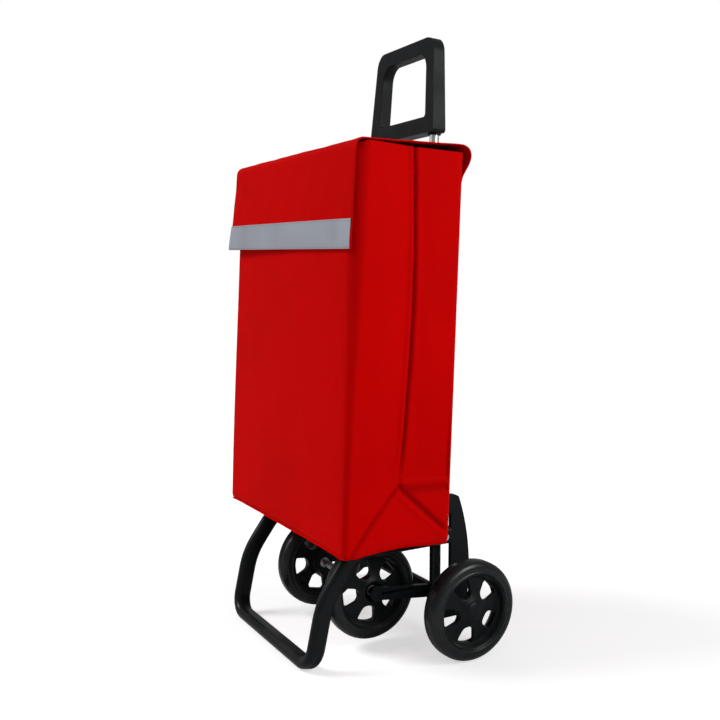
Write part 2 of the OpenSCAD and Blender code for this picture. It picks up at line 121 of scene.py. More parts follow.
class TrolleyHardSizes(bpy.types.PropertyGroup):
    grip_forward: length("Grip slant", "How far the grip's foot stands forward of its top", 0.004, 0, 0.008)
    spokes: steps_of("Spokes", "Number of spokes in each wheel", 5, 3, 6)
    turn: turned("Wheel turn", "How far the wheels are turned at rest", 24, 71)
    tread_steps: steps_of("Wheel steps", "Faces round each tyre", 96, 32, 160)


class TrolleyColours(bpy.types.PropertyGroup):
    cloth: tint("Cloth", "Colour of the bag and the lid", (0.56, 0.0, 0.0))
    strip: tint("Strip", "Colour of the reflective strip", (0.39, 0.415, 0.47))
    black: tint("Black parts", "Colour of the paint and the moulded plastic", (0.0046, 0.0064, 0.0072))


def bag_sizes():
    return bpy.context.scene.trolley_bag


def lid_sizes():
    return bpy.context.scene.trolley_lid


def hard_sizes():
    return bpy.context.scene.trolley_hard


def colours():
    return bpy.context.scene.trolley_colours


# ---- small helpers ----

# Points closer than this are one point
DOUBLES = 0.00002


def mix(a, b, t):
    return a + (b - a) * t


def ease(t):
    t = min(1.0, max(0.0, t))
    return t * t * (3 - 2 * t)


def soft_min(a, b, k):
    h = min(1.0, max(0.0, 0.5 + 0.5 * (b - a) / k))
    return mix(b, a, h) - k * h * (1 - h)


def bell(x, width):
    """1 where x is 0, and falling to almost nothing at twice the width."""
    return math.exp(-(x / width) ** 2)


def back_y(z):
    return BAG_HI.y - (BAG_HI.z - z) * tan(bag_sizes().lean)


def bag_depth():
    return BAG_HI.y - BAG_LO.y - BAG_H * tan(bag_sizes().lean)


def take(obj):
    """Makes obj the only selected and the active object."""
    if bpy.context.object and bpy.context.object.mode != "OBJECT":
        bpy.ops.object.mode_set(mode="OBJECT")
    bpy.ops.object.select_all(action="DESELECT")
    bpy.context.view_layer.objects.active = obj
    if obj:
        obj.select_set(True)


def added(name):
    obj = bpy.context.object
    obj.name = name
    obj.data.name = name
    return obj


def edit(obj):
    take(obj)
    bpy.ops.object.mode_set(mode="EDIT")
    bpy.ops.mesh.select_all(action="DESELECT")


def done(obj):
    bpy.ops.object.mode_set(mode="OBJECT")
    return obj


def pick(obj, kind, test):
    """In edit mode, selects only the VERT, EDGE or FACE elements that pass the test."""
    bpy.ops.mesh.select_all(action="DESELECT")
    bpy.ops.mesh.select_mode(type=kind)
    bm = bmesh.from_edit_mesh(obj.data)
    items = {"VERT": bm.verts, "EDGE": bm.edges, "FACE": bm.faces}[kind]
    for item in items:
        if test(item):
            item.select_set(True)
    bm.select_flush_mode()
    bmesh.update_edit_mesh(obj.data)


def face_out(obj, merge=0.0):
    """Turns every face outwards, after its doubles closer than merge are joined."""
    edit(obj)
    bpy.ops.mesh.select_all(action="SELECT")
    if merge:
        bpy.ops.mesh.remove_doubles(threshold=merge)
    bpy.ops.mesh.normals_make_consistent(inside=False)
    done(obj)


def in_order(obj):
    """Sorts points and faces by place, so that they and any cut from them are the same at every run."""
    edit(obj)
    bm = bmesh.from_edit_mesh(obj.data)
    for items, where in ((bm.verts, lambda v: v.co), (bm.faces, lambda f: f.calc_center_median())):
        placed = sorted(items, key=lambda item: tuple(round(c, 6) for c in where(item)))
        for i, item in enumerate(placed):
            item.index = i
        items.sort()
    bmesh.update_edit_mesh(obj.data)
    done(obj)


def merge_doubles(obj, distance):
    edit(obj)
    bpy.ops.mesh.select_all(action="SELECT")
    bpy.ops.mesh.remove_doubles(threshold=distance)
    done(obj)


def flip(obj):
    """Turns every face of a piece over."""
    edit(obj)
    bpy.ops.mesh.select_all(action="SELECT")
    bpy.ops.mesh.flip_normals()
    done(obj)


def bevel_picked(width, segments, clamp):
    """Rounds the selected edges in edit mode."""
    bpy.ops.mesh.bevel(offset=width, offset_type="OFFSET", segments=segments, affect="EDGES",
                       clamp_overlap=clamp)


def mesh_object(name, verts, faces):
    mesh = bpy.data.meshes.new(name)
    mesh.from_pydata(verts, [], faces)
    obj = bpy.data.objects.new(name, mesh)
    bpy.context.scene.collection.objects.link(obj)
    return obj


def copy_of(first, name):
    obj = first.copy()
    obj.data = first.data.copy()
    obj.name = name
    bpy.context.scene.collection.objects.link(obj)
    return obj


def longer_than(edge, axis, least):
    a, b = edge.verts[0].co, edge.verts[1].co
    return abs(a[axis] - b[axis]) > least


def apply_place(obj):
    take(obj)
    bpy.ops.object.transform_apply(location=True, rotation=True, scale=True)


def modify(obj, kind, **values):
    """Adds a modifier and applies it."""
    take(obj)
    m = obj.modifiers.new(kind.title(), kind)
    for key, value in values.items():
        setattr(m, key, value)
    bpy.ops.object.modifier_apply(modifier=m.name)


def round_edges(obj, width, segments=2, angle=35):
    modify(obj, "BEVEL", width=width, segments=segments, limit_method="ANGLE",
           angle_limit=radians(angle), use_clamp_overlap=True, harden_normals=False)


def smooth(obj, angle=40):
    take(obj)
    bpy.ops.object.shade_smooth_by_angle(angle=radians(angle))


def cloth_object(name, rows, uvs, closed):
    """A grid of points as a mesh: rows of equal length, each point joined to the next row's."""
    n = len(rows[0])
    verts = [p for row in rows for p in row]
    faces, face_uvs = [], []
    for i in range(len(rows) - 1):
        for j in range(n if closed else n - 1):
            k = (j + 1) % n
            faces.append((i * n + j, i * n + k, (i + 1) * n + k, (i + 1) * n + j))
            a, b = uvs[i], uvs[i + 1]
            last = [(row[-1][0] + row[1][0] - row[0][0], row[k][1]) if closed and k == 0 else row[k]
                    for row in (a, b)]
            face_uvs += [a[j], last[0], last[1], b[j]]
    obj = mesh_object(name, verts, faces)
    layer = obj.data.uv_layers.new(name="cloth")
    for loop, uv in zip(layer.data, face_uvs):
        loop.uv = uv
    return obj


def lengths(points):
    """Running length along a line of points."""
    out = [0.0]
    for a, b in zip(points, points[1:]):
        out.append(out[-1] + (Vector(b) - Vector(a)).length)
    return out


def curve_through(points, count):
    """Points evenly spaced on a smooth line through the given ones."""
    pts = [Vector(p) for p in points]
    pts = [2 * pts[0] - pts[1]] + pts + [2 * pts[-1] - pts[-2]]
    fine = []
    for i in range(1, len(pts) - 2):
        a, b, c, d = pts[i - 1:i + 3]
        for s in range(12):
            t = s / 12
            fine.append(0.5 * (2 * b + (c - a) * t + (2 * a - 5 * b + 4 * c - d) * t * t
                               + (3 * b - 3 * c + d - a) * t ** 3))
    fine.append(pts[-2])
    at = lengths(fine)
    out, k = [], 0
    for i in range(count):
        want = at[-1] * i / (count - 1)
        while k < len(at) - 2 and at[k + 1] < want:
            k += 1
        out.append(fine[k].lerp(fine[k + 1], (want - at[k]) / max(1e-9, at[k + 1] - at[k])))
    return out


# ---- shader node groups, each built once ----


class Wires:
    """Adds nodes to a tree and joins them up."""

    def __init__(self, tree):
        self.tree = tree
        self.column = -1200

    def node(self, kind, settings=None, **inputs):
        n = self.tree.nodes.new(kind)
        n.location = (self.column, 0)
        self.column += 40
        for key, value in (settings or {}).items():
            setattr(n, key, value)
        for key, value in inputs.items():
            self.put(n, key.replace("_", " "), value)
        return n

    def put(self, node, socket, value):
        target = node.inputs[int(socket[1:])] if socket[0] == "#" else node.inputs[socket]
        if isinstance(value, bpy.types.NodeSocket):
            self.tree.links.new(value, target)
        else:
            target.default_value = value

    def math(self, op, a, b=0.0, c=0.0):
        n = self.node("ShaderNodeMath", {"operation": op})
        for i, value in enumerate((a, b, c)):
            self.put(n, f"#{i}", value)
        return n.outputs[0]

    def vector(self, op, a, b=(0, 0, 0)):
        n = self.node("ShaderNodeVectorMath", {"operation": op})
        self.put(n, "#0", a)
        self.put(n, "#1", b)
        return n.outputs["Value"] if op == "DOT_PRODUCT" else n.outputs[0]

    def scaled(self, a, factor):
        n = self.node("ShaderNodeVectorMath", {"operation": "SCALE"})
        self.put(n, "#0", a)
        self.put(n, "Scale", factor)
        return n.outputs[0]

    def noise(self, where, scale, detail=3.0, rough=0.5):
        return self.node("ShaderNodeTexNoise", None, Vector=where, Scale=scale, Detail=detail,
                         Roughness=rough).outputs[0]

    def ramp(self, value, low, high, to_low=0.0, to_high=1.0):
        n = self.node("ShaderNodeMapRange", {"interpolation_type": "SMOOTHSTEP"}, Value=value)
        for key, v in zip(("From Min", "From Max", "To Min", "To Max"), (low, high, to_low, to_high)):
            self.put(n, key, v)
        return n.outputs[0]

    def blend(self, amount, a, b, kind="MIX"):
        n = self.node("ShaderNodeMix", {"data_type": "RGBA", "blend_type": kind})
        self.put(n, "#0", amount)
        for i, v in ((6, a), (7, b)):
            self.put(n, f"#{i}", (*v, 1) if isinstance(v, tuple) and len(v) == 3 else v)
        return n.outputs[2]


def new_group(name, inputs, outputs):
    tree = bpy.data.node_groups.new(name, "ShaderNodeTree")
    for label, kind, value in inputs:
        s = tree.interface.new_socket(name=label, in_out="INPUT", socket_type=kind)
        if value is not None:
            s.default_value = value
    for label, kind in outputs:
        tree.interface.new_socket(name=label, in_out="OUTPUT", socket_type=kind)
    w = Wires(tree)
    given = w.node("NodeGroupInput")
    result = w.node("NodeGroupOutput")
    result.location = (900, 0)
    return w, given.outputs, result


VEC, NUM = "NodeSocketVector", "NodeSocketFloat"


def plain_weave():
    """Crossing threads: a fine height and a slight shade from thread to thread."""
    w, g, out = new_group("Plain weave", [("Vector", VEC, None), ("Thread", NUM, 0.0006)],
                          [("Height", NUM), ("Shade", NUM)])
    p = w.scaled(g["Vector"], w.math("DIVIDE", pi, g["Thread"]))
    parts = w.node("ShaderNodeSeparateXYZ", None, Vector=p)
    sx = w.math("SINE", parts.outputs[0])
    sy = w.math("SINE", parts.outputs[1])
    over = w.math("MULTIPLY_ADD", w.math("MULTIPLY", sx, sy), 0.5, 0.5)
    slub = w.noise(w.vector("MULTIPLY", g["Vector"], (1900, 110, 1)), 1.0, 2)
    warp = w.noise(w.vector("MULTIPLY", g["Vector"], (110, 1900, 1)), 1.0, 2)
    threads = w.math("MULTIPLY", w.math("ADD", slub, warp), 0.5)
    w.put(out, "Height", w.math("MULTIPLY_ADD", threads, 0.6, over))
    w.put(out, "Shade", threads)
    return w.tree


def soft_creases():
    """Broad, faint waves and a few sharper creases left by folding."""
    w, g, out = new_group("Soft creases", [("Vector", VEC, None), ("Scale", NUM, 6.0)],
                          [("Height", NUM), ("Shade", NUM)])
    broad = w.noise(w.vector("MULTIPLY", g["Vector"], (1.0, 0.45, 1.0)), g["Scale"], 2)
    warped = w.vector("ADD", g["Vector"], w.scaled(w.node(
        "ShaderNodeTexNoise", None, Vector=g["Vector"], Scale=9.0).outputs[1], 0.05))
    line = w.noise(warped, w.math("MULTIPLY", g["Scale"], 2.2), 1)
    crease = w.ramp(w.math("ABSOLUTE", w.math("SUBTRACT", line, 0.5)), 0.0, 0.05, 1.0, 0.0)
    w.put(out, "Height", w.math("MULTIPLY_ADD", crease, 0.10, broad))
    w.put(out, "Shade", broad)
    return w.tree


def moulded_grain():
    """Spark-eroded grain of moulded plastic."""
    w, g, out = new_group("Moulded grain", [("Vector", VEC, None), ("Size", NUM, 0.0008)],
                          [("Height", NUM), ("Value", NUM)])
    scale = w.math("DIVIDE", 1.0, g["Size"])
    pits = w.node("ShaderNodeTexVoronoi", {"feature": "SMOOTH_F1"}, Vector=g["Vector"], Scale=scale)
    flow = w.noise(g["Vector"], 22.0, 4)
    w.put(out, "Height", pits.outputs["Distance"])
    w.put(out, "Value", flow)
    return w.tree


def edge_wear():
    """A mask that is 1 on worn outer edges and 0 on flats."""
    w, g, out = new_group(
        "Edge wear", [("Vector", VEC, None), ("Radius", NUM, 0.0015), ("Amount", NUM, 0.5)], [("Mask", NUM)])
    flat = w.node("ShaderNodeNewGeometry").outputs["True Normal"]
    bent = w.node("ShaderNodeBevel", {"samples": 4}, Radius=g["Radius"]).outputs[0]
    turn = w.math("SUBTRACT", 1.0, w.vector("DOT_PRODUCT", flat, bent))
    rubbed = w.noise(g["Vector"], 55.0, 5, 0.65)
    edge = w.math("MULTIPLY", w.ramp(turn, 0.01, 0.12), w.ramp(rubbed, 0.42, 0.66))
    w.put(out, "Mask", w.math("MULTIPLY", edge, g["Amount"]))
    return w.tree


def settled_dust():
    """A faint mask of dust on faces that look up."""
    w, g, out = new_group("Settled dust", [("Vector", VEC, None), ("Amount", NUM, 0.2)],
                          [("Mask", NUM)])
    up = w.node("ShaderNodeSeparateXYZ", None, Vector=w.node("ShaderNodeNewGeometry").outputs["Normal"])
    cloud = w.noise(g["Vector"], 14.0, 6, 0.6)
    w.put(out, "Mask", w.math("MULTIPLY", w.math("MULTIPLY", w.ramp(up.outputs[2], 0.2, 1.0),
                                                 w.ramp(cloud, 0.35, 0.75)), g["Amount"]))
    return w.tree


def drawn_lines():
    """Fine lines along one direction, as on drawn or brushed metal. Stretch is small along the lines."""
    w, g, out = new_group("Drawn lines", [("Vector", VEC, None), ("Stretch", VEC, (1.0, 1.0, 0.02))],
                          [("Height", NUM), ("Value", NUM)])
    p = w.vector("MULTIPLY", g["Vector"], g["Stretch"])
    fine = w.noise(p, 2600.0, 2)
    broad = w.noise(p, 240.0, 3)
    w.put(out, "Height", fine)
    w.put(out, "Value", w.math("MULTIPLY", w.math("ADD", fine, broad), 0.5))
    return w.tree


GROUPS = {}


def group(name):
    makers = {"weave": plain_weave, "creases": soft_creases, "grain": moulded_grain,
              "wear": edge_wear, "dust": settled_dust, "lines": drawn_lines}
    if name not in GROUPS:
        GROUPS[name] = makers[name]()
    return GROUPS[name]


MIDDLING = 0.3, 0.7
DUST = 0.30, 0.28, 0.25


class Finish(Wires):
    """A material under construction."""

    def __init__(self, name):
        self.material = bpy.data.materials.new(name)
        self.material.use_nodes = True
        super().__init__(self.material.node_tree)
        self.shader = self.tree.nodes["Principled BSDF"]
        self.shader.location = (600, 0)
        self.tree.nodes["Material Output"].location = (900, 0)
        self.where = self.node("ShaderNodeTexCoord").outputs["Object"]

    def cloth_uv(self):
        return self.node("ShaderNodeUVMap", {"uv_map": "cloth"}).outputs[0]

    def use(self, name, **inputs):
        n = self.node("ShaderNodeGroup", {"node_tree": group(name)}, **inputs)
        return n.outputs

    def bumps(self, *layers):
        """Stacks (height, distance in metres, strength) layers into one normal."""
        normal = None
        for height, distance, strength in layers:
            b = self.node("ShaderNodeBump", None, Height=height, Distance=distance, Strength=strength)
            if normal is not None:
                self.put(b, "Normal", normal)
            normal = b.outputs[0]
        self.put(self.shader, "Normal", normal)

    def mottle(self, value, base, dark, light):
        """Shades of the base colour, from dark to light where the value is middling."""
        return self.blend(self.ramp(value, *MIDDLING), shade_of(base, dark), shade_of(base, light))

    def gloss(self, value, low, high):
        """A roughness from low to high where the value is middling."""
        return self.ramp(value, *MIDDLING, low, high)

    def set(self, **values):
        for key, value in values.items():
            self.put(self.shader, key.replace("_", " "), value)
        return self.material


def shade_of(colour, factor):
    return tuple(min(1.0, c * factor) for c in colour)


def red_cloth():
    f = Finish("bag cloth")
    uv = f.cloth_uv()
    weave = f.use("weave", Vector=uv, Thread=0.00055)
    folds = f.use("creases", Vector=f.where, Scale=5.0)
    base = tuple(colours().cloth)
    tone = f.mottle(folds["Shade"], base, 0.90, 1.06)
    thread = f.blend(f.ramp(weave["Shade"], 0.35, 0.65), shade_of(base, 0.93), shade_of(base, 1.05))
    colour = f.blend(0.5, tone, thread)
    # painted shade: the colour turns deep red along the creases and front corners given by the fold
    # attribute
    pressed = f.node("ShaderNodeAttribute", {"attribute_name": "fold"}).outputs["Fac"]
    colour = f.blend(f.math("MULTIPLY", pressed, 0.62), colour, shade_of(base, 0.18))
    rough = f.gloss(weave["Shade"], 0.62, 0.74)
    f.bumps((folds["Height"], 0.004, 0.35), (weave["Height"], 0.00005, 0.6))
    return f.set(Base_Color=colour, Roughness=rough, Specular_IOR_Level=0.02)


def strip_tape():
    f = Finish("silver strip")
    uv = f.cloth_uv()
    beads = f.node("ShaderNodeTexVoronoi", {"feature": "DISTANCE_TO_EDGE"}, Vector=uv, Scale=620.0)
    cells = f.ramp(beads.outputs[0], 0.02, 0.12)
    cloud = f.noise(f.where, 16.0, 4)
    base = tuple(colours().strip)
    colour = f.mottle(cloud, base, 0.93, 1.08)
    colour = f.blend(f.math("MULTIPLY", cells, 0.5), shade_of(base, 0.86), colour)
    f.bumps((cloud, 0.002, 0.25), (cells, 0.00004, 0.5))
    return f.set(Base_Color=colour, Roughness=f.gloss(cloud, 0.40, 0.52), Metallic=0.35,
                 Specular_IOR_Level=0.4)


def sewing_thread(name, colour):
    f = Finish(name)
    twist = f.node("ShaderNodeTexWave", None, Vector=f.where, Scale=420.0, Distortion=1.0)
    f.bumps((twist.outputs[1], 0.0001, 0.6))
    tone = f.blend(twist.outputs[1], shade_of(colour, 0.8), shade_of(colour, 1.15))
    return f.set(Base_Color=tone, Roughness=0.6, Specular_IOR_Level=0.3)


def woven_tape():
    f = Finish("woven tape")
    weave = f.use("weave", Vector=f.where, Thread=0.0011)
    ribs = f.node("ShaderNodeTexWave", {"bands_direction": "X"}, Vector=f.where, Scale=230.0)
    base = tuple(colours().black)
    colour = f.blend(weave["Shade"], shade_of(base, 0.9), shade_of(base, 2.2))
    f.bumps((ribs.outputs[1], 0.0004, 0.5), (weave["Height"], 0.0001, 0.6))
    return f.set(Base_Color=colour, Roughness=0.78, Specular_IOR_Level=0.25)


def black_paint():
    f = Finish("black paint")
    peel = f.noise(f.where, 420.0, 2)
    cloud = f.noise(f.where, 9.0, 4)
    worn = f.use("wear", Vector=f.where, Radius=0.0012, Amount=0.35)["Mask"]
    dust = f.use("dust", Vector=f.where, Amount=0.06)["Mask"]
    base = tuple(colours().black)
    colour = f.blend(worn, base, (0.10, 0.10, 0.105))
    colour = f.blend(dust, colour, DUST)
    f.bumps((cloud, 0.0006, 0.15), (peel, 0.00008, 0.35))
    return f.set(Base_Color=colour, Roughness=f.gloss(cloud, 0.27, 0.38), Specular_IOR_Level=0.14)


def moulded_black(name, size, rough, tint=1.0, worn_amount=0.3):
    f = Finish(name)
    grain = f.use("grain", Vector=f.where, Size=size)
    worn = f.use("wear", Vector=f.where, Radius=0.0012, Amount=worn_amount)["Mask"]
    dust = f.use("dust", Vector=f.where, Amount=0.07)["Mask"]
    base = shade_of(tuple(colours().black), tint)
    colour = f.mottle(grain["Value"], base, 0.9, 1.25)
    colour = f.blend(worn, colour, (0.055, 0.058, 0.06))
    colour = f.blend(dust, colour, DUST)
    f.bumps((grain["Value"], 0.0005, 0.12), (grain["Height"], 0.00006, 0.5))
    return f.set(Base_Color=colour, Roughness=f.gloss(grain["Value"], rough - 0.05, rough + 0.07),
                 Specular_IOR_Level=0.13)


def tyre_rubber():
    f = Finish("tyre rubber")
    grain = f.use("grain", Vector=f.where, Size=0.0006)
    scuff = f.noise(f.where, 70.0, 6, 0.7)
    dust = f.use("dust", Vector=f.where, Amount=0.05)["Mask"]
    base = shade_of(tuple(colours().black), 0.85)
    colour = f.blend(f.ramp(scuff, 0.45, 0.75), base, shade_of(base, 2.4))
    colour = f.blend(dust, colour, (0.28, 0.26, 0.23))
    f.bumps((scuff, 0.0004, 0.2), (grain["Height"], 0.00005, 0.4))
    return f.set(Base_Color=colour, Roughness=f.gloss(scuff, 0.26, 0.33), Specular_IOR_Level=0.32)


def zinc_steel():
    f = Finish("zinc steel")
    lines = f.use("lines", Vector=f.where, Stretch=(0.03, 1.0, 1.0))
    cloud = f.noise(f.where, 90.0, 5)
    colour = f.blend(f.ramp(cloud, *MIDDLING), (0.50, 0.52, 0.54), (0.66, 0.67, 0.68))
    f.bumps((lines["Height"], 0.00004, 0.4))
    return f.set(Base_Color=colour, Metallic=1.0, Roughness=f.gloss(lines["Value"], 0.22, 0.36))


def anodised_tube():
    f = Finish("satin aluminium")
    lines = f.use("lines", Vector=f.where, Stretch=(1.0, 1.0, 0.02))
    colour = f.blend(f.ramp(lines["Value"], *MIDDLING), (0.60, 0.61, 0.62), (0.74, 0.75, 0.76))
    f.bumps((lines["Height"], 0.00003, 0.35))
    return f.set(Base_Color=colour, Metallic=1.0, Roughness=f.gloss(lines["Value"], 0.26, 0.38))


def nylon():
    f = Finish("natural nylon")
    grain = f.use("grain", Vector=f.where, Size=0.0009)
    colour = f.blend(grain["Value"], (0.62, 0.60, 0.53), (0.74, 0.72, 0.66))
    f.bumps((grain["Height"], 0.00005, 0.4))
    return f.set(Base_Color=colour, Roughness=f.gloss(grain["Value"], 0.38, 0.5))


def pressed_board():
    f = Finish("pressed board")
    fibres = f.noise(f.vector("MULTIPLY", f.where, (1.0, 0.2, 1.0)), 700.0, 5, 0.7)
    colour = f.blend(fibres, (0.10, 0.075, 0.05), (0.24, 0.19, 0.13))
    f.bumps((fibres, 0.0002, 0.5))
    return f.set(Base_Color=colour, Roughness=f.gloss(fibres, 0.75, 0.9))


def studio_floor():
    f = Finish("studio floor")
    cloud = f.noise(f.where, 0.7, 3)
    tone = f.blend(cloud, (0.61, 0.61, 0.613), (0.63, 0.63, 0.63))
    seen = f.node("ShaderNodeLightPath").outputs["Is Camera Ray"]
    return f.set(Base_Color=tone, Roughness=0.8, Specular_IOR_Level=0.0, Emission_Color=(1, 1, 1, 1),
                 Emission_Strength=f.math("MULTIPLY", seen, 0.56))


MAKERS = {
    "red_fabric": red_cloth, "silver_strip": strip_tape, "webbing": woven_tape,
    "black_tube": black_paint,
    "black_plastic": lambda: moulded_black("moulded black", 0.0007, 0.42),
    "handle_plastic": lambda: moulded_black("grip plastic", 0.0009, 0.46, 1.15),
    "hub_plastic": lambda: moulded_black("hub plastic", 0.0006, 0.33, 1.0, 0.2),
    "tyre_rubber": tyre_rubber, "steel": zinc_steel, "aluminium_tube": anodised_tube,
    "bush_plastic": nylon, "board": pressed_board,
}
MADE = {}


def material(slot):
    if slot not in MADE:
        MADE[slot] = MAKERS[slot]()
    return MADE[slot]


def hand_over(obj, slot, body, *nodes, finish=None):
    """Gives a finished piece its material and its body, and hides the CAD nodes it stands for."""
    obj.data.materials.clear()
    obj.data.materials.append(finish or material(slot))
    if nodes:
        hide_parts(*nodes)
    if body:
        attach(obj, body)
    return obj


# ---- the bag ----

# Steps round the bag: each rounded corner, each side, the front and the back
ROUND_STEPS = 8
SIDE_STEPS = 100
FRONT_STEPS = 26
BACK_STEPS = 20
# Height over which the front rim rounds over, and how much higher the gusset's fold is at its rear end
RIM = 0.018
FOLD_LIFT = 0.022
# Widths of the pressed upright line and of the diagonal folds below it
LINE_WIDTH = 0.0031
DENT_WIDTH = 0.0036


def gusset_push(s, h):
    """How far a side is pressed in and how much painted shade darkens its creases, at s from front 0 to back
    1 and h up the bag.
    """
    depth = bag_depth()
    fold = depth * 0.5
    rise = min(1.0, max(0.0, (h - fold) / (BAG_H - fold)))
    bow = sin(pi * rise)
    middle = 0.5 + (0.0045 + 0.0095 * bow) / depth - 0.05 * max(0.0, 1 - h / fold)
    deep = bag_sizes().gusset * mix(1.2, 0.85 - 0.15 * bow, ease(h / fold - 0.6))
    lift = FOLD_LIFT * ease((s - middle) / (1 - middle))
    across = s / middle if s < middle else (1 - s) / (1 - middle)
    up = max(0.0, (h - lift) / (fold - lift))
    push = deep * soft_min(across, up, 0.05)
    off = (s - middle) * depth
    pressed = ease(h / fold - 0.8)
    line = bell(off, LINE_WIDTH) * pressed
    push += 0.0040 * line
    push -= 0.0026 * bell(off + 0.0085, 0.0055) * pressed
    push -= 0.0010 * bell(off - 0.0080, 0.0050) * pressed
    # painted shade: the cloth's colour is darkened along the pressed upright line
    crease = line
    if off > 0:
        # a level fold behind the line, with the cloth sunk above it
        level = bell(h - fold - 0.004, DENT_WIDTH) * ease(off / 0.012)
        below = bell(h - fold + 0.009, 0.0075) * ease(off / 0.020)
        sunk = ease((fold + 0.17 - h) / 0.15) * ease((h - fold + 0.004) / 0.014) * ease(off / 0.03)
        push += 0.0034 * below - 0.0026 * level + 0.0040 * sunk
        # painted shade under the level fold
        crease = max(crease, 0.45 * below)
    for far, low in ((0.0, 0.0), (1.0, FOLD_LIFT)):
        # the diagonal folds run from the line's foot down to the bag's lower corners
        if (s <= middle) == (far == 0.0) and h < fold * 1.02:
            t = (s - middle) / (far - middle)
            away = (h - mix(fold, low, t)) * 0.72
            dent = bell(away, DENT_WIDTH) * ease((1.04 - t) * 8) * (0.55 if far == 0.0 else 1.0)
            push += 0.0036 * dent - 0.0026 * bell(away + 0.0090, 0.0060) * ease((1.04 - t) * 6)
            # painted shade along the diagonal folds
            crease = max(crease, dent)
    return push, crease


def waves(a, b, seed):
    """Small, even waves that repeat in no short distance."""
    return (sin(a * 23 + b * 9 + seed) + sin(a * 11 - b * 31 + 2.1 * seed)
            + 0.6 * sin(a * 47 + b * 17 + 3.3 * seed)) / 2.6


# Painted shade for each point of the last ring made: how far its colour is darkened in creases and at the
# front corners
creases = []


def bag_ring(h, inset=0.0):
    """The bag's outline at height h above its bottom, from the middle of the back round by the left."""
    sizes = bag_sizes()
    t = h / BAG_H
    depth = bag_depth()
    z = BAG_LO.z + h
    rear = back_y(z)
    half, low, high = BAG_HALF - inset, rear - depth + inset, rear - inset
    r = mix(0.010, sizes.corner, ease(t * 1.25 - 0.15))
    rr = mix(0.008, 0.012, t)
    points = []
    creases.clear()

    def put(x, y, nx, ny, side, s):
        swell = sin(pi * min(1.0, max(0.0, t)))
        push = crease = 0.0
        if side == "front":
            push = -sizes.bulge * sin(pi * s) ** 0.7 * swell ** 0.8
            push -= sizes.wrinkle * waves(x * 3, z * 2, 1.0) * sin(pi * s)
        if side == "back":
            push = -0.002 * sin(pi * s) * swell
        if side == "side":
            push, crease = gusset_push(s, h)
            push -= sizes.wrinkle * 1.3 * waves(y * 4 + (1.7 if x > 0 else 0.4), z * 2.2, 2.0) * sin(pi * s)
            push -= 0.0016 * swell * sin(2 * pi * abs(s - 0.5)) ** 2
        sag = 0.0
        if t < 0.12:
            near = 1 - t / 0.12
            edge = max(0.0, (abs(x) - 0.150) / 0.073)
            sag = -0.0026 * edge ** 2 * near
            if side == "side":
                sag += 0.0045 * sin(pi * s) ** 2 * near
        if t > 0.93:
            over = (t - 0.93) / 0.07
            back = min(1.0, max(0.0, (y - low) / depth))
            sag -= 0.0085 * back ** 1.4 * over
        # painted shade down the front's upright corners
        if side == "corner" and ny < 0:
            crease = 0.25 * sin(pi * s)
        top = ease((h - BAG_H + RIM) / RIM)
        sag -= 0.0045 * top * ease(1 - (y - low) / RIM)
        tuck = 0.0050 * top * ease(1 - (y - low) / (2 * RIM))
        points.append((Vector((x - nx * push, y - ny * push + tuck, z + sag)), side))
        creases.append(crease)

    def arc(cx, cy, radius, start):
        for i in range(1, ROUND_STEPS):
            a = start + pi / 2 * i / ROUND_STEPS
            put(cx + radius * cos(a), cy + radius * sin(a), cos(a), sin(a), "corner", i / ROUND_STEPS)

    def flank(way, s):
        put(way * half, mix(low + r, high - rr, s), way, 0, "side", s)

    for i in range(BACK_STEPS // 2 + 1):
        s = 0.5 + 0.5 * i / (BACK_STEPS // 2)
        put(mix(0.0, -(half - rr), (s - 0.5) * 2), high, 0, 1, "back", s)
    arc(-(half - rr), high - rr, rr, pi / 2)
    for i in range(SIDE_STEPS + 1):
        flank(-1, 1 - i / SIDE_STEPS)
    arc(-(half - r), low + r, r, pi)
    for i in range(FRONT_STEPS + 1):
        s = i / FRONT_STEPS
        put(mix(-(half - r), half - r, s), low, 0, -1, "front", s)
    arc(half - r, low + r, r, 3 * pi / 2)
    for i in range(SIDE_STEPS + 1):
        flank(1, i / SIDE_STEPS)
    arc(half - rr, high - rr, rr, 0)
    for i in range(BACK_STEPS // 2):
        s = 0.5 * i / (BACK_STEPS // 2)
        put(mix(half - rr, 0.0, s * 2), high, 0, 1, "back", s)
    return points


def bag_heights():
    """Rings close together over the folded foot of the bag, and wider apart above it."""
    foot = [0.0, 0.0012, 0.003, 0.0055, 0.009, 0.013]
    start, close, wide = 0.016, 50, 58
    folded = bag_depth() * 0.5 + FOLD_LIFT
    return (foot + [start + (folded - start) * i / close for i in range(close + 1)]
            + [folded + (BAG_H - folded) * i / wide for i in range(1, wide + 1)])


def ring_uvs(ring, h):
    at = lengths([p for p, side in ring])
    return [(a, h) for a in at]


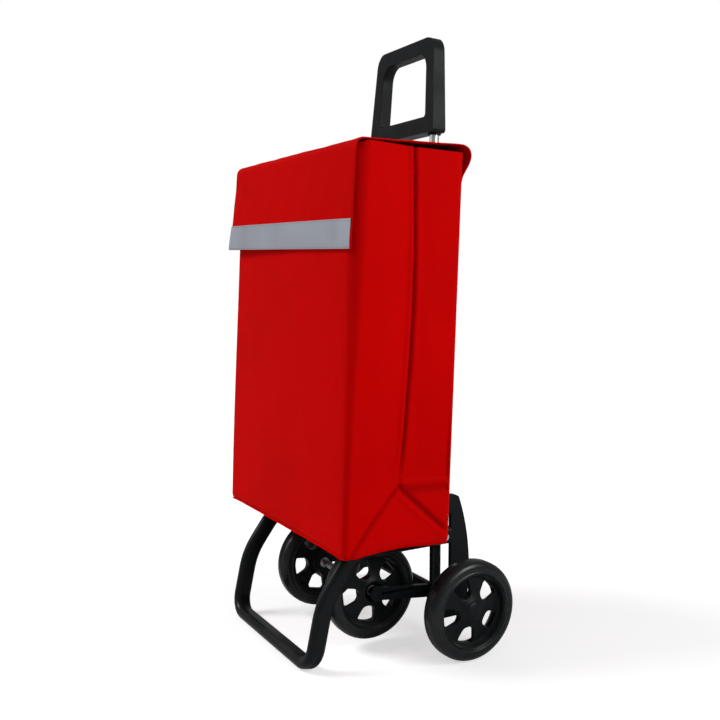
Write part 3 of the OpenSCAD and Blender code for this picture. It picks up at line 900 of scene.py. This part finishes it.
class TROLLEY_OT_bag(bpy.types.Operator):
    """Lofts the cloth bag with its pressed gussets, its mouth tape and its seams"""
    bl_idname = "trolley.bag"
    bl_label = "Bag"
    bl_options = {"REGISTER", "UNDO"}

    def execute(self, context):
        rows, uvs, folds = [], [], []
        middle = Vector((0, (BAG_LO.y + back_y(BAG_LO.z)) / 2, 0))
        base = bag_ring(0.0)
        flat_uv = ring_uvs(base, 0.0)
        for share in (0.02, 0.35, 0.7, 0.9, 0.97, 0.99):
            rows.append([Vector((mix(middle.x, p.x, share), mix(middle.y, p.y, share),
                                 mix(BAG_LO.z, p.z, share) + 0.0003)) for p, side in base])
            uvs.append([(u, -0.1 * (1 - share)) for u, v in flat_uv])
            folds += [0.0] * len(base)
        for h in bag_heights():
            ring = bag_ring(h)
            tuck = 0.0035 * max(0.0, 1 - h / 0.009) ** 2
            inwards = tuck / (bag_depth() / 2)
            rows.append([Vector((p.x * (1 - tuck / BAG_HALF), mix(p.y, middle.y, inwards), p.z))
                         for p, side in ring])
            uvs.append(ring_uvs(ring, h))
            folds += creases
        bag = cloth_object("bag_shell", rows, uvs, True)
        # the fold attribute holds painted shade: how far the cloth's colour is darkened along creases and
        # front corners
        bag.data.attributes.new("fold", "FLOAT", "POINT").data.foreach_set("value", folds)
        edit(bag)
        pick(bag, "VERT", lambda v: (v.co.xy - middle.xy).length < 0.006 and v.co.z < BAG_LO.z + 0.01)
        bpy.ops.mesh.merge(type="CENTER")
        done(bag)
        face_out(bag)
        modify(bag, "SOLIDIFY", thickness=bag_sizes().wall, offset=-1.0, use_even_offset=False)
        smooth(bag, 60)
        hand_over(bag, "red_fabric", "frame", "bag_body")
        self.mouth_tape()
        self.seams()
        self.hanger()
        return {"FINISHED"}

    def mouth_tape(self):
        wall = bag_sizes().wall
        rows, uvs = [], []
        for below in (0.014, 0.0134, 0.010, 0.005, 0.0006):
            inset = wall + (0.0004 if below > 0.0135 else 0.0012)
            ring = bag_ring(BAG_H - below, inset)
            rows.append([p for p, side in ring])
            uvs.append(ring_uvs(ring, -below))
        over = bag_ring(BAG_H, wall * 0.8)
        rows.append([p + Vector((0, 0, 0.0003)) for p, side in over])
        uvs.append(ring_uvs(over, 0.001))
        tape = cloth_object("mouth_tape", rows, uvs, True)
        face_out(tape, DOUBLES)
        modify(tape, "SOLIDIFY", thickness=0.0005, offset=-1.0)
        smooth(tape, 50)
        hand_over(tape, "webbing", "frame", "mouth_binding")

    def seams(self):
        steps, paths = 60, []
        for side in (-1, 1):
            for end, way in (("front", -1), ("back", 1)):
                line = []
                for i in range(steps):
                    ring = bag_ring(0.02 + (BAG_H - 0.05) * i / (steps - 1))
                    edge = max((p for p, s in ring if s == end), key=lambda p: p.x * side)
                    line.append((edge + Vector((side * -0.004, way * 0.0003, 0)), Vector((0, way, 0))))
                paths.append(line)
        ring = bag_ring(0.006)
        for name, out in (("side", Vector((-1, 0, 0))), ("side", Vector((1, 0, 0))),
                          ("front", Vector((0, -1, 0)))):
            run = [(p + out * 0.0004 + Vector((0, 0, 0.004)), out)
                   for p, s in ring if s == name and (name == "front" or p.x * out.x > 0)]
            paths.append(run[1:-1])
        stitches = stitch_rows("bag_stitches", paths, 0.0046, 0.0030, 0.00028)
        hand_over(stitches, "red_fabric", "frame", finish=thread_material(*RED_THREAD))

    def hanger(self):
        lo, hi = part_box("hanger_strap")
        z = (lo.z + hi.z) / 2
        bpy.ops.mesh.primitive_cube_add(size=1, location=(0, 0, 0))
        strap = added("hanger_webbing")
        strap.scale = (hi.x - lo.x, 0.0020, hi.z - lo.z)
        strap.rotation_euler = (-bag_sizes().lean, 0, 0)
        strap.location = (0, back_y(z) + 0.0013, z)
        apply_place(strap)
        edit(strap)
        pick(strap, "EDGE", lambda e: longer_than(e, 0, 0.01))
        bpy.ops.mesh.subdivide(number_cuts=24)
        pick(strap, "VERT", lambda v: abs(abs(v.co.x) - TUBE_X) < 0.016 and v.co.y > back_y(v.co.z) + 0.0012)
        bpy.ops.transform.translate(value=(0, 0.0011, 0))
        done(strap)
        round_edges(strap, 0.0008, 2)
        smooth(strap, 40)
        hand_over(strap, "webbing", "frame", "hanger_strap")


THREADS = {}
RED_THREAD = ("red thread", (0.34, 0.0, 0.0))
GREY_THREAD = ("grey thread", (0.30, 0.32, 0.35))
# A stitch's rings: place along it, share of the thread's radius, and height over the cloth
STITCH = ((-0.5, 0.35, -0.5), (-0.28, 1.0, 0.25), (0.28, 1.0, 0.25), (0.5, 0.35, -0.5))
STITCH_SIDES = 5


def thread_material(name, colour):
    if name not in THREADS:
        THREADS[name] = sewing_thread(name, colour)
    return THREADS[name]


def stitch_rows(name, paths, pitch, long, radius):
    """Short capsules of thread laid along lines of (point, outward normal)."""
    verts, faces = [], []
    n = STITCH_SIDES
    for path in paths:
        at = lengths([p for p, up in path])
        count = int(at[-1] / pitch)
        k = 0
        for i in range(count):
            middle = (i + 0.5) * at[-1] / count
            while k < len(at) - 2 and at[k + 1] < middle:
                k += 1
            t = (middle - at[k]) / max(1e-9, at[k + 1] - at[k])
            centre = path[k][0].lerp(path[k + 1][0], t)
            along = (path[k + 1][0] - path[k][0]).normalized()
            up = path[k][1].lerp(path[k + 1][1], t).normalized()
            side = along.cross(up).normalized()
            first = len(verts)
            for shift, size, height in STITCH:
                for j in range(n):
                    a = 2 * pi * j / n
                    verts.append(centre + along * (shift * long) + up * (radius * (height + size * sin(a)))
                                 + side * (radius * size * cos(a)))
            for ring in range(len(STITCH) - 1):
                for j in range(n):
                    a, b = first + ring * n + j, first + ring * n + (j + 1) % n
                    faces.append((a, a + n, b + n, b))
            faces.append(tuple(first + j for j in range(n)))
            faces.append(tuple(first + len(STITCH) * n - 1 - j for j in range(n)))
    obj = mesh_object(name, verts, faces)
    face_out(obj)
    smooth(obj, 60)
    return obj


# ---- the lid ----

LID_COLUMNS = 76
LID_ROWS = 132


def lid_profile(x):
    """The lid's outer line at x, from the seam on the bag's back over the mouth and down the flap."""
    sizes = lid_sizes()
    half = STRIP_HI.x
    top, rear = BAG_HI.z, BAG_HI.y
    depth = bag_depth()
    slope = tan(bag_sizes().lean)
    left = 0.5 - x / (2 * half)
    flare = mix(sizes.flare_right, sizes.flare_left, left)
    rise = 0.0080 * left
    curl = sizes.curl
    r = sizes.front_round
    bow = 1 - abs(x / half) ** 6
    front = rear - depth - 0.0022
    low = top - sizes.flap
    back = [(0.0008, -0.0515), (0.16 * curl, -0.044), (0.52 * curl, -0.034), (0.86 * curl, -0.0245),
            (curl, -0.0155), (0.88 * curl, -0.0070), (0.48 * curl, -0.0005), (-0.15 * curl, 0.0034),
            (-0.014, 0.0048)]
    points = [(rear + y + min(0.0, dz) * slope, top + dz) for y, dz in back]
    crown = 0.0012 * bow
    for share in (0.25, 0.5, 0.75):
        y = mix(rear - 0.010, front + r, share)
        points.append((y, top + mix(0.0044, 0.0030, share) + crown * sin(pi * share)))
    for i in range(5):
        a = pi / 2 * i / 4
        points.append((front + r - r * sin(a), top + 0.0030 - r + r * cos(a)))
    start = top + 0.0030 - r
    for share in (0.2, 0.4, 0.6, 0.8, 1.0):
        z = mix(start, low, share) + rise * share ** 1.5
        lean = slope * (start - z)
        swell = 0.0020 * sin(pi * share) * bow
        points.append((front - lean - flare * share ** 1.3 - swell, z))
    return [(x, y, z) for y, z in points]


def lid_grid():
    """Points and flat positions of the lid, a column at a time from left to right."""
    half = STRIP_HI.x
    columns, flat = [], []
    for i in range(LID_COLUMNS + 1):
        s = i / LID_COLUMNS
        s = mix(s, 0.5 - 0.5 * cos(pi * s), 0.25)
        x = mix(-half, half, s)
        line = curve_through(lid_profile(x), LID_ROWS + 1)
        for k, p in enumerate(line):
            t = k / LID_ROWS
            near = max(0.0, (t - 0.60) / 0.40)
            p.x *= 1 - 0.013 * ease(near * 1.6) * (1 if x > 0 else 0.15)
            p.x *= 1 - 0.040 * ease(1 - t / 0.13)
            p.y -= 0.0006 * waves(x * 4, t * 1.4, 4.0) * ease(near * 3)
            p.z += 0.0005 * waves(x * 3, t * 2, 6.0) * (1 - ease(near * 3)) * ease((t - 0.2) * 5)
        columns.append(line)
        flat.append(lengths(line))
    return columns, flat


def lid_point(grid, u, down):
    """A point and its outward normal on the flap, at u across and down metres above its lower edge."""
    columns, flat = grid

    def at(i, d):
        line, run = columns[i], flat[i]
        want = run[-1] - d
        k = max(j for j in range(len(run) - 1) if run[j] <= want)
        return line[k].lerp(line[k + 1], (want - run[k]) / (run[k + 1] - run[k]))

    place = min(LID_COLUMNS - 0.001, max(0.0, u * LID_COLUMNS))
    i = int(place)
    p = at(i, down).lerp(at(i + 1, down), place - i)
    across = at(i + 1, down) - at(i, down)
    along = at(i, down + 0.002) - at(i, down)
    return p, along.cross(across).normalized() * -1


class TROLLEY_OT_lid(bpy.types.Operator):
    """Makes the lid as one sheet of cloth, from the back seam over the mouth and down the flap"""
    bl_idname = "trolley.lid"
    bl_label = "Lid"
    bl_options = {"REGISTER", "UNDO"}

    def execute(self, context):
        grid = lid_grid()
        columns, flat = grid
        rows = [[columns[i][k] for i in range(LID_COLUMNS + 1)] for k in range(LID_ROWS + 1)]
        uvs = [[(columns[i][0].x, flat[i][k]) for i in range(LID_COLUMNS + 1)]
               for k in range(LID_ROWS + 1)]
        lid = cloth_object("lid_cloth", rows, uvs, False)
        face_out(lid)
        if max(lid.data.polygons, key=lambda f: f.center.z).normal.z < 0:
            flip(lid)
        modify(lid, "SOLIDIFY", thickness=0.0018, offset=-1.0)
        modify(lid, "BEVEL", width=0.0005, segments=2, limit_method="ANGLE", angle_limit=radians(60))
        smooth(lid, 55)
        hand_over(lid, "red_fabric", None, "lid", "lid_back_fold")
        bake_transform(lid)
        strip = self.strip(grid)
        rows = self.stitching(grid)
        return {"FINISHED"}

    def strip(self, grid):
        tall = lid_sizes().strip
        rows, uvs = [], []
        across, down = 90, 14
        for j in range(down + 1):
            share = j / down
            puff = 0.0009 + 0.0004 * ease(min(share, 1 - share) * tall / 0.003)
            row, uv = [], []
            for i in range(across + 1):
                u = mix(0.0008, 0.9925, i / across)
                p, n = lid_point(grid, u, mix(0.0004, tall, share))
                row.append(p + n * puff)
                uv.append((u * 2 * STRIP_HI.x, share * tall))
            rows.append(row)
            uvs.append(uv)
        strip = cloth_object("silver_band", rows, uvs, False)
        face_out(strip)
        if strip.data.polygons[0].normal.y > 0:
            flip(strip)
        modify(strip, "SOLIDIFY", thickness=0.0008, offset=-1.0)
        smooth(strip, 50)
        hand_over(strip, "silver_strip", "lid", "lid_strip")
        return strip

    def stitching(self, grid):
        def path(places, lift):
            out = []
            for u, down in places:
                p, n = lid_point(grid, u, down)
                out.append((p + n * lift, n))
            return out

        tall, flap = lid_sizes().strip, lid_sizes().flap
        across, along = 90, 29
        band = [path([(mix(0.006, 0.988, i / across), down) for i in range(across + 1)], 0.0016)
                for down in (0.0026, tall - 0.0024)]
        sides = [path([(u, mix(tall + 0.003, flap - 0.02, i / along)) for i in range(along + 1)], 0.0002)
                 for u in (0.010, 0.9905)]
        rows = stitch_rows("strip_stitches", band, 0.0042, 0.0029, 0.00026)
        hand_over(rows, "silver_strip", "lid", finish=thread_material(*GREY_THREAD))
        hems = stitch_rows("flap_stitches", sides, 0.0044, 0.0029, 0.00026)
        hand_over(hems, "red_fabric", "lid", finish=thread_material(*RED_THREAD))
        return rows


# ---- the grip ----

# How far the grip's middle plane stands in from its front at the foot
GRIP_MIDDLE = 0.012


def grip_foot_y(lean):
    """How far back the middle of the grip's foot stands."""
    return GRIP_LO.y + GRIP_MIDDLE * cos(lean)


class TROLLEY_OT_grip(bpy.types.Operator):
    """Models the moulded grip from a block: cut into a frame, its corners and edges rounded"""
    bl_idname = "trolley.grip"
    bl_label = "Grip"
    bl_options = {"REGISTER", "UNDO"}

    def execute(self, context):
        lean = bag_sizes().lean
        thick = 0.0215
        tall = (GRIP_HI.z - GRIP_LO.z - 2 * GRIP_MIDDLE * sin(lean)) / cos(lean)
        half = GRIP_HI.x
        hole, hole_low, hole_high = 0.0768, 0.028, 0.135
        top_narrow = 0.865
        arch_high, arch_half = 0.0065, 0.08
        near = 0.001
        bpy.ops.mesh.primitive_cube_add(size=1, location=(0, 0, tall / 2))
        grip = added("hand_grip")
        grip.scale = (2 * half, thick, tall)
        apply_place(grip)
        edit(grip)
        for place, turned in (((-hole, 0, 0), (1, 0, 0)), ((hole, 0, 0), (1, 0, 0)),
                              ((0, 0, hole_low), (0, 0, 1)), ((0, 0, hole_high), (0, 0, 1))):
            bpy.ops.mesh.select_all(action="SELECT")
            bpy.ops.mesh.bisect(plane_co=place, plane_no=turned)

        def in_hole(face):
            c = face.calc_center_median()
            return abs(c.x) < hole - near and hole_low < c.z < hole_high and abs(face.normal.y) > 0.9

        pick(grip, "FACE", in_hole)
        bpy.ops.mesh.bridge_edge_loops()

        def upright(edge, test):
            a, b = edge.verts[0].co, edge.verts[1].co
            return longer_than(edge, 1, thick * 0.5) and test((a + b) / 2)

        corners = (
            (0.024, lambda c: abs(c.x) > half - near and c.z > tall - near),
            (0.006, lambda c: abs(c.x) > half - near and c.z < near),
            (0.025, lambda c: abs(abs(c.x) - hole) < near and abs(c.z - hole_high) < near),
            (0.006, lambda c: abs(abs(c.x) - hole) < near and abs(c.z - hole_low) < near))
        for radius, test in corners:
            pick(grip, "EDGE", lambda e: upright(e, test))
            bevel_picked(radius, 9, False)

        def rim(edge, back, inner):
            if len(edge.link_faces) != 2 or edge.calc_face_angle(0) < radians(50):
                return False
            c = (edge.verts[0].co + edge.verts[1].co) / 2
            if (c.y > 0) != back or abs(abs(c.y) - thick / 2) > 0.0005:
                return False
            inside = abs(c.x) < hole + 0.0005 and hole_low - 0.0005 < c.z < hole_high + 0.0005
            return inside == inner

        for back, inner, width, segments in ((True, True, 0.0085, 6), (False, True, 0.0040, 4),
                                             (True, False, 0.0060, 5), (False, False, 0.0055, 5)):
            pick(grip, "EDGE", lambda e: rim(e, back, inner))
            bevel_picked(width, segments, True)
        # the grip is narrower at its top, and its legs spread towards the tubes
        pick(grip, "VERT", lambda v: True)
        bm = bmesh.from_edit_mesh(grip.data)
        for v in bm.verts:
            share = v.co.z / tall
            v.co.x *= mix(1.0, top_narrow, share)
            v.co.y -= hard_sizes().grip_forward * (1 - share) ** 1.5 * (0.5 - v.co.y / thick)
            if abs(v.co.x) < arch_half:
                v.co.z += arch_high * (1 - (v.co.x / arch_half) ** 2) * ease(1 - share * 4)
        bmesh.update_edit_mesh(grip.data)
        done(grip)
        face_out(grip, DOUBLES)
        in_order(grip)
        smooth(grip, 45)
        grip.rotation_euler = (-lean, 0, 0)
        grip.location = (0, grip_foot_y(lean), GRIP_LO.z + GRIP_MIDDLE * sin(lean))
        apply_place(grip)
        hand_over(grip, "handle_plastic", "frame", "handle")
        self.collars(lean)
        return {"FINISHED"}

    def collars(self, lean):
        for side, label in ((-1, "left"), (1, "right")):
            bpy.ops.mesh.primitive_cylinder_add(vertices=48, radius=0.0112, depth=0.006,
                                                location=(0, 0, -0.0028))
            ring = added(f"grip_collar_{label}")
            round_edges(ring, 0.0012, 3)
            smooth(ring, 40)
            ring.rotation_euler = (-lean, 0, 0)
            ring.location = (side * TUBE_X, grip_foot_y(lean), GRIP_LO.z + 0.0003)
            apply_place(ring)
            hand_over(ring, "handle_plastic", "frame")


# ---- the wheels ----


def lathe(name, outline, steps, close=True):
    """Spins an outline of (x from the wheel's middle, radius) round the right rear wheel's axis."""
    count = len(outline)
    bpy.ops.mesh.primitive_circle_add(vertices=count, radius=0.01, fill_type="NOTHING", location=(0, 0, 0))
    obj = added(name)
    edit(obj)
    bm = bmesh.from_edit_mesh(obj.data)
    bm.verts.ensure_lookup_table()
    for v, (x, r) in zip(bm.verts, outline):
        v.co = (WHEEL.x + x, WHEEL.y, WHEEL.z + r)
    if not close:
        last = next(e for e in bm.edges if {v.index for v in e.verts} == {0, count - 1})
        bm.edges.remove(last)
    bmesh.update_edit_mesh(obj.data)
    bpy.ops.mesh.select_all(action="SELECT")
    bpy.ops.mesh.spin(steps=steps, angle=2 * pi, center=WHEEL, axis=(1, 0, 0))
    done(obj)
    face_out(obj, DOUBLES)
    in_order(obj)
    return obj


def axle_caps():
    """Thin black caps pressed on the ends of the inner axle, outside the links."""
    thick, stand_off = 0.0009, 0.00046
    lo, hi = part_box("aux_axle")
    bpy.ops.mesh.primitive_cylinder_add(vertices=40, radius=0.0074, depth=thick, location=(0, 0, 0))
    right = added("axle_cap_right")
    round_edges(right, 0.0004, 2)
    smooth(right, 40)
    right.rotation_euler = (0, pi / 2, 0)
    right.location = (hi.x + stand_off, (lo.y + hi.y) / 2, (lo.z + hi.z) / 2)
    apply_place(right)
    left = copy_of(right, "axle_cap_left")
    left.data.transform(Matrix.Translation((2 * (lo.x - stand_off), 0, 0)))
    for cap in (right, left):
        hand_over(cap, "black_plastic", "inner_frame")


def mm(*pairs):
    return [(x / 1000, r / 1000) for x, r in pairs]


def tyre_outline():
    half = mm((3.0, 82.5), (6.5, 82.35), (9.5, 81.7), (12.0, 80.4), (14.2, 78.4), (15.9, 75.7),
              (17.0, 72.6), (17.3, 69.8), (16.9, 67.6), (17.0, 66.6), (17.8, 65.9), (18.0, 64.9),
              (17.8, 63.9), (17.0, 63.2), (15.4, 62.6), (14.6, 61.6), (14.4, 60.2))
    return half + [(-x, r) for x, r in reversed(half)]


def hub_outline():
    return mm((14.9, 61.9), (15.3, 60.9), (14.8, 59.9), (13.4, 59.1), (10.2, 58.0), (6.6, 56.6),
              (4.8, 54.8), (4.6, 52.5), (5.6, 46.0), (7.2, 38.0), (9.4, 30.0), (11.7, 24.0),
              (13.9, 19.6), (15.0, 17.5), (15.0, 17.1), (9.5, 17.0), (9.5, 9.1), (-17.4, 9.1),
              (-17.4, 16.6), (-16.8, 17.0), (-11.0, 17.6), (-10.4, 20.4), (-4.6, 23.2), (-1.4, 26.0),
              (-0.6, 34.0), (-0.8, 46.0), (-2.0, 51.0), (-7.0, 54.6), (-13.8, 57.4), (-14.9, 59.0),
              (-14.9, 61.9))


def cap_outline():
    return mm((9.7, 16.6), (11.0, 16.95), (15.0, 17.0), (15.4, 16.8), (16.5, 14.8), (17.9, 11.4),
              (19.0, 7.8), (19.7, 4.0), (20.0, 0.0))


# A window's corners in a hub: distance from the axle and half its width there
WINDOW = ((0.0250, -0.0100), (0.0250, 0.0100), (0.0532, 0.0172), (0.0532, -0.0172))


class TROLLEY_OT_wheels(bpy.types.Operator):
    """Turns one tyre, hub and cap, cuts the hub's windows and copies them to every wheel, the cap to the
    rear wheels only
    """
    bl_idname = "trolley.wheels"
    bl_label = "Wheels"
    bl_options = {"REGISTER", "UNDO"}

    def execute(self, context):
        steps = hard_sizes().tread_steps
        tyre = lathe("tyre_rear_right", tyre_outline(), steps)
        smooth(tyre, 50)
        hub = lathe("hub_rear_right", hub_outline(), steps)
        self.cut_windows(hub)
        smooth(hub, 35)
        cap = lathe("cap_rear_right", cap_outline(), 64, close=False)
        modify(cap, "SOLIDIFY", thickness=0.0012, offset=-1.0)
        smooth(cap, 50)
        self.place(tyre, "tyre", "tyre_rubber")
        self.place(hub, "hub", "hub_plastic")
        self.place(cap, "cap", "hub_plastic")
        axle_caps()
        return {"FINISHED"}

    def cut_windows(self, hub):
        count = hard_sizes().spokes
        cutters = []
        for i in range(count):
            turn = 2 * pi * (i + 0.5) / count + hard_sizes().turn
            bpy.ops.mesh.primitive_cylinder_add(vertices=4, radius=0.02, depth=0.08, location=(0, 0, 0))
            cutter = added(f"window_cutter_{i}")
            edit(cutter)
            bm = bmesh.from_edit_mesh(cutter.data)
            turns = [round(math.atan2(v.co.y, v.co.x), 3) for v in bm.verts]
            order = sorted(set(turns))
            for v, way in zip(bm.verts, turns):
                r, t = WINDOW[order.index(way)]
                v.co = (v.co.z, t, r)
            bmesh.update_edit_mesh(cutter.data)
            pick(cutter, "EDGE", lambda e: longer_than(e, 0, 0.01))
            bevel_picked(0.0080, 7, True)
            done(cutter)
            cutter.rotation_euler = (turn - pi, 0, 0)
            cutter.location = WHEEL
            apply_place(cutter)
            face_out(cutter, DOUBLES)
            in_order(cutter)
            cutters.append(cutter)
        for cutter in cutters:
            modify(hub, "BOOLEAN", operation="DIFFERENCE", object=cutter, solver="EXACT")
            bpy.data.objects.remove(cutter)
        in_order(hub)
        merge_doubles(hub, 0.00005)
        round_edges(hub, 0.0009, 2, 48)

    def place(self, first, part, slot):
        """Copies a part made at the right rear wheel to the others; the cap goes to the rear wheels only.
        Left ones are mirrored.
        """
        for pair, body in (("rear", "rear"), ("aux", "inner")):
            for side, word in ((1, "right"), (-1, "left")):
                if (part, pair) == ("cap", "aux"):
                    continue
                obj = first
                if (pair, side) != ("rear", 1):
                    obj = copy_of(first, f"{part}_{pair}_{word}")
                    lo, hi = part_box(f"{pair}_{word}_tyre")
                    obj.data.transform(Matrix.Translation((lo + hi) / 2) @ Matrix.Diagonal((side, 1, 1, 1))
                                       @ Matrix.Translation(-WHEEL))
                    if side < 0:
                        flip(obj)
                hand_over(obj, slot, f"{body}_{word}_wheel", f"{pair}_{word}_{part}")


# ---- finishes of the frame's own parts ----

SOFTENED = ("skid_left", "skid_right", "lower_bridge", "link_left", "link_right", "bag_hook_left",
            "bag_hook_right", "loop_plugs", "aux_spacers", "axle_spacer_left", "axle_spacer_right",
            "loop_bolts", "skid_screws")


class TROLLEY_OT_finishes(bpy.types.Operator):
    """Gives every part of the frame that still shows its finish, and softens moulded edges"""
    bl_idname = "trolley.finishes"
    bl_label = "Finishes"
    bl_options = {"REGISTER", "UNDO"}

    def execute(self, context):
        for row in frame["record"]["subparts"]:
            obj = frame["nodes"][row["node"]]
            if obj.hide_render:
                continue
            for slot in obj.material_slots:
                slot.material = material(row["material_slot"])
            if row["node"] in SOFTENED:
                weld = obj.modifiers.new("Weld", "WELD")
                weld.merge_threshold = 0.00001
                soft = obj.modifiers.new("Bevel", "BEVEL")
                soft.width = 0.0014 if "skid_" in row["node"] or "bridge" in row["node"] else 0.0007
                soft.segments = 2
                soft.limit_method = "ANGLE"
                soft.angle_limit = radians(50)
        return {"FINISHED"}


# ---- the stage ----


class TROLLEY_OT_stage(bpy.types.Operator):
    """Sets up the pale floor, the studio light and the camera"""
    bl_idname = "trolley.stage"
    bl_label = "Stage"
    bl_options = {"REGISTER", "UNDO"}

    def execute(self, context):
        scene = context.scene
        bpy.ops.mesh.primitive_plane_add(size=80, location=(0, 0, 0))
        floor = added("studio_floor")
        floor.data.materials.append(studio_floor())
        apply_place(floor)
        world = bpy.data.worlds.new("studio")
        world.use_nodes = True
        sky = world.node_tree.nodes["Background"]
        sky.inputs["Color"].default_value = (1.0, 1.0, 1.0, 1)
        wires = Wires(world.node_tree)
        seen = wires.node("ShaderNodeLightPath").outputs["Is Camera Ray"]
        wires.put(sky, "Strength", wires.ramp(seen, 0.0, 1.0, 0.26, 1.0))
        scene.world = world
        for name, tilt, turn, strength, spread in (("key", 44, -30, 2.0, 24), ("side", 60, 104, 0.55, 30)):
            sun = self.lamp(name, "SUN", energy=strength, angle=radians(spread))
            sun.rotation_euler = (radians(tilt), 0, radians(turn))
        for name, place, size, watts in (("left card", Vector((-1.2, -1.9, 1.1)), 0.9, 4.0),
                                         ("right card", Vector((1.6, 0.85, 1.4)), 0.7, 15.0)):
            card = self.lamp(name, "AREA", energy=watts, size=size)
            card.location = place
            card.rotation_euler = (Vector((0, 0, 0.75)) - place).to_track_quat("-Z", "Y").to_euler()
        camera = bpy.data.objects.new("camera", bpy.data.cameras.new("camera"))
        scene.collection.objects.link(camera)
        camera.location = (1.3625, -0.76756, 0.6265)
        camera.rotation_euler = (radians(84.5), 0, radians(60.2))
        camera.data.lens = 45
        camera.data.sensor_width = 36
        scene.camera = camera
        scene.view_settings.view_transform = "Standard"
        return {"FINISHED"}

    def lamp(self, name, kind, **values):
        lamp = bpy.data.lights.new(name, kind)
        for key, value in values.items():
            setattr(lamp, key, value)
        obj = bpy.data.objects.new(name, lamp)
        bpy.context.scene.collection.objects.link(obj)
        return obj


class TROLLEY_PT_panel(bpy.types.Panel):
    """Lists the trolley's sizes, colours and steps"""
    bl_idname = "TROLLEY_PT_panel"
    bl_label = "Shopping trolley"
    bl_space_type = "VIEW_3D"
    bl_region_type = "UI"
    bl_category = "Trolley"

    def draw(self, context):
        scene = context.scene
        for title, data in (("Bag", scene.trolley_bag), ("Lid", scene.trolley_lid),
                            ("Hard parts", scene.trolley_hard), ("Colours", scene.trolley_colours)):
            box = self.layout.box()
            box.label(text=title)
            for key in data.__annotations__:
                box.prop(data, key)
        for operator in OPERATORS:
            self.layout.operator(operator.bl_idname)


OPERATORS = (TROLLEY_OT_stage, TROLLEY_OT_bag, TROLLEY_OT_lid, TROLLEY_OT_grip, TROLLEY_OT_wheels,
             TROLLEY_OT_finishes)
GROUPED = (("trolley_bag", TrolleyBagSizes), ("trolley_lid", TrolleyLidSizes),
           ("trolley_hard", TrolleyHardSizes), ("trolley_colours", TrolleyColours))


def register():
    for name, kind in GROUPED:
        bpy.utils.register_class(kind)
        setattr(bpy.types.Scene, name, PointerProperty(type=kind))
    for kind in (*OPERATORS, TROLLEY_PT_panel):
        bpy.utils.register_class(kind)


def unregister():
    for kind in (TROLLEY_PT_panel, *reversed(OPERATORS)):
        bpy.utils.unregister_class(kind)
    for name, kind in reversed(GROUPED):
        delattr(bpy.types.Scene, name)
        bpy.utils.unregister_class(kind)


def main():
    register()
    for operator in OPERATORS:
        family, name = operator.bl_idname.split(".")
        getattr(getattr(bpy.ops, family), name)()
    take(None)


if __name__ == "__main__":
    main()
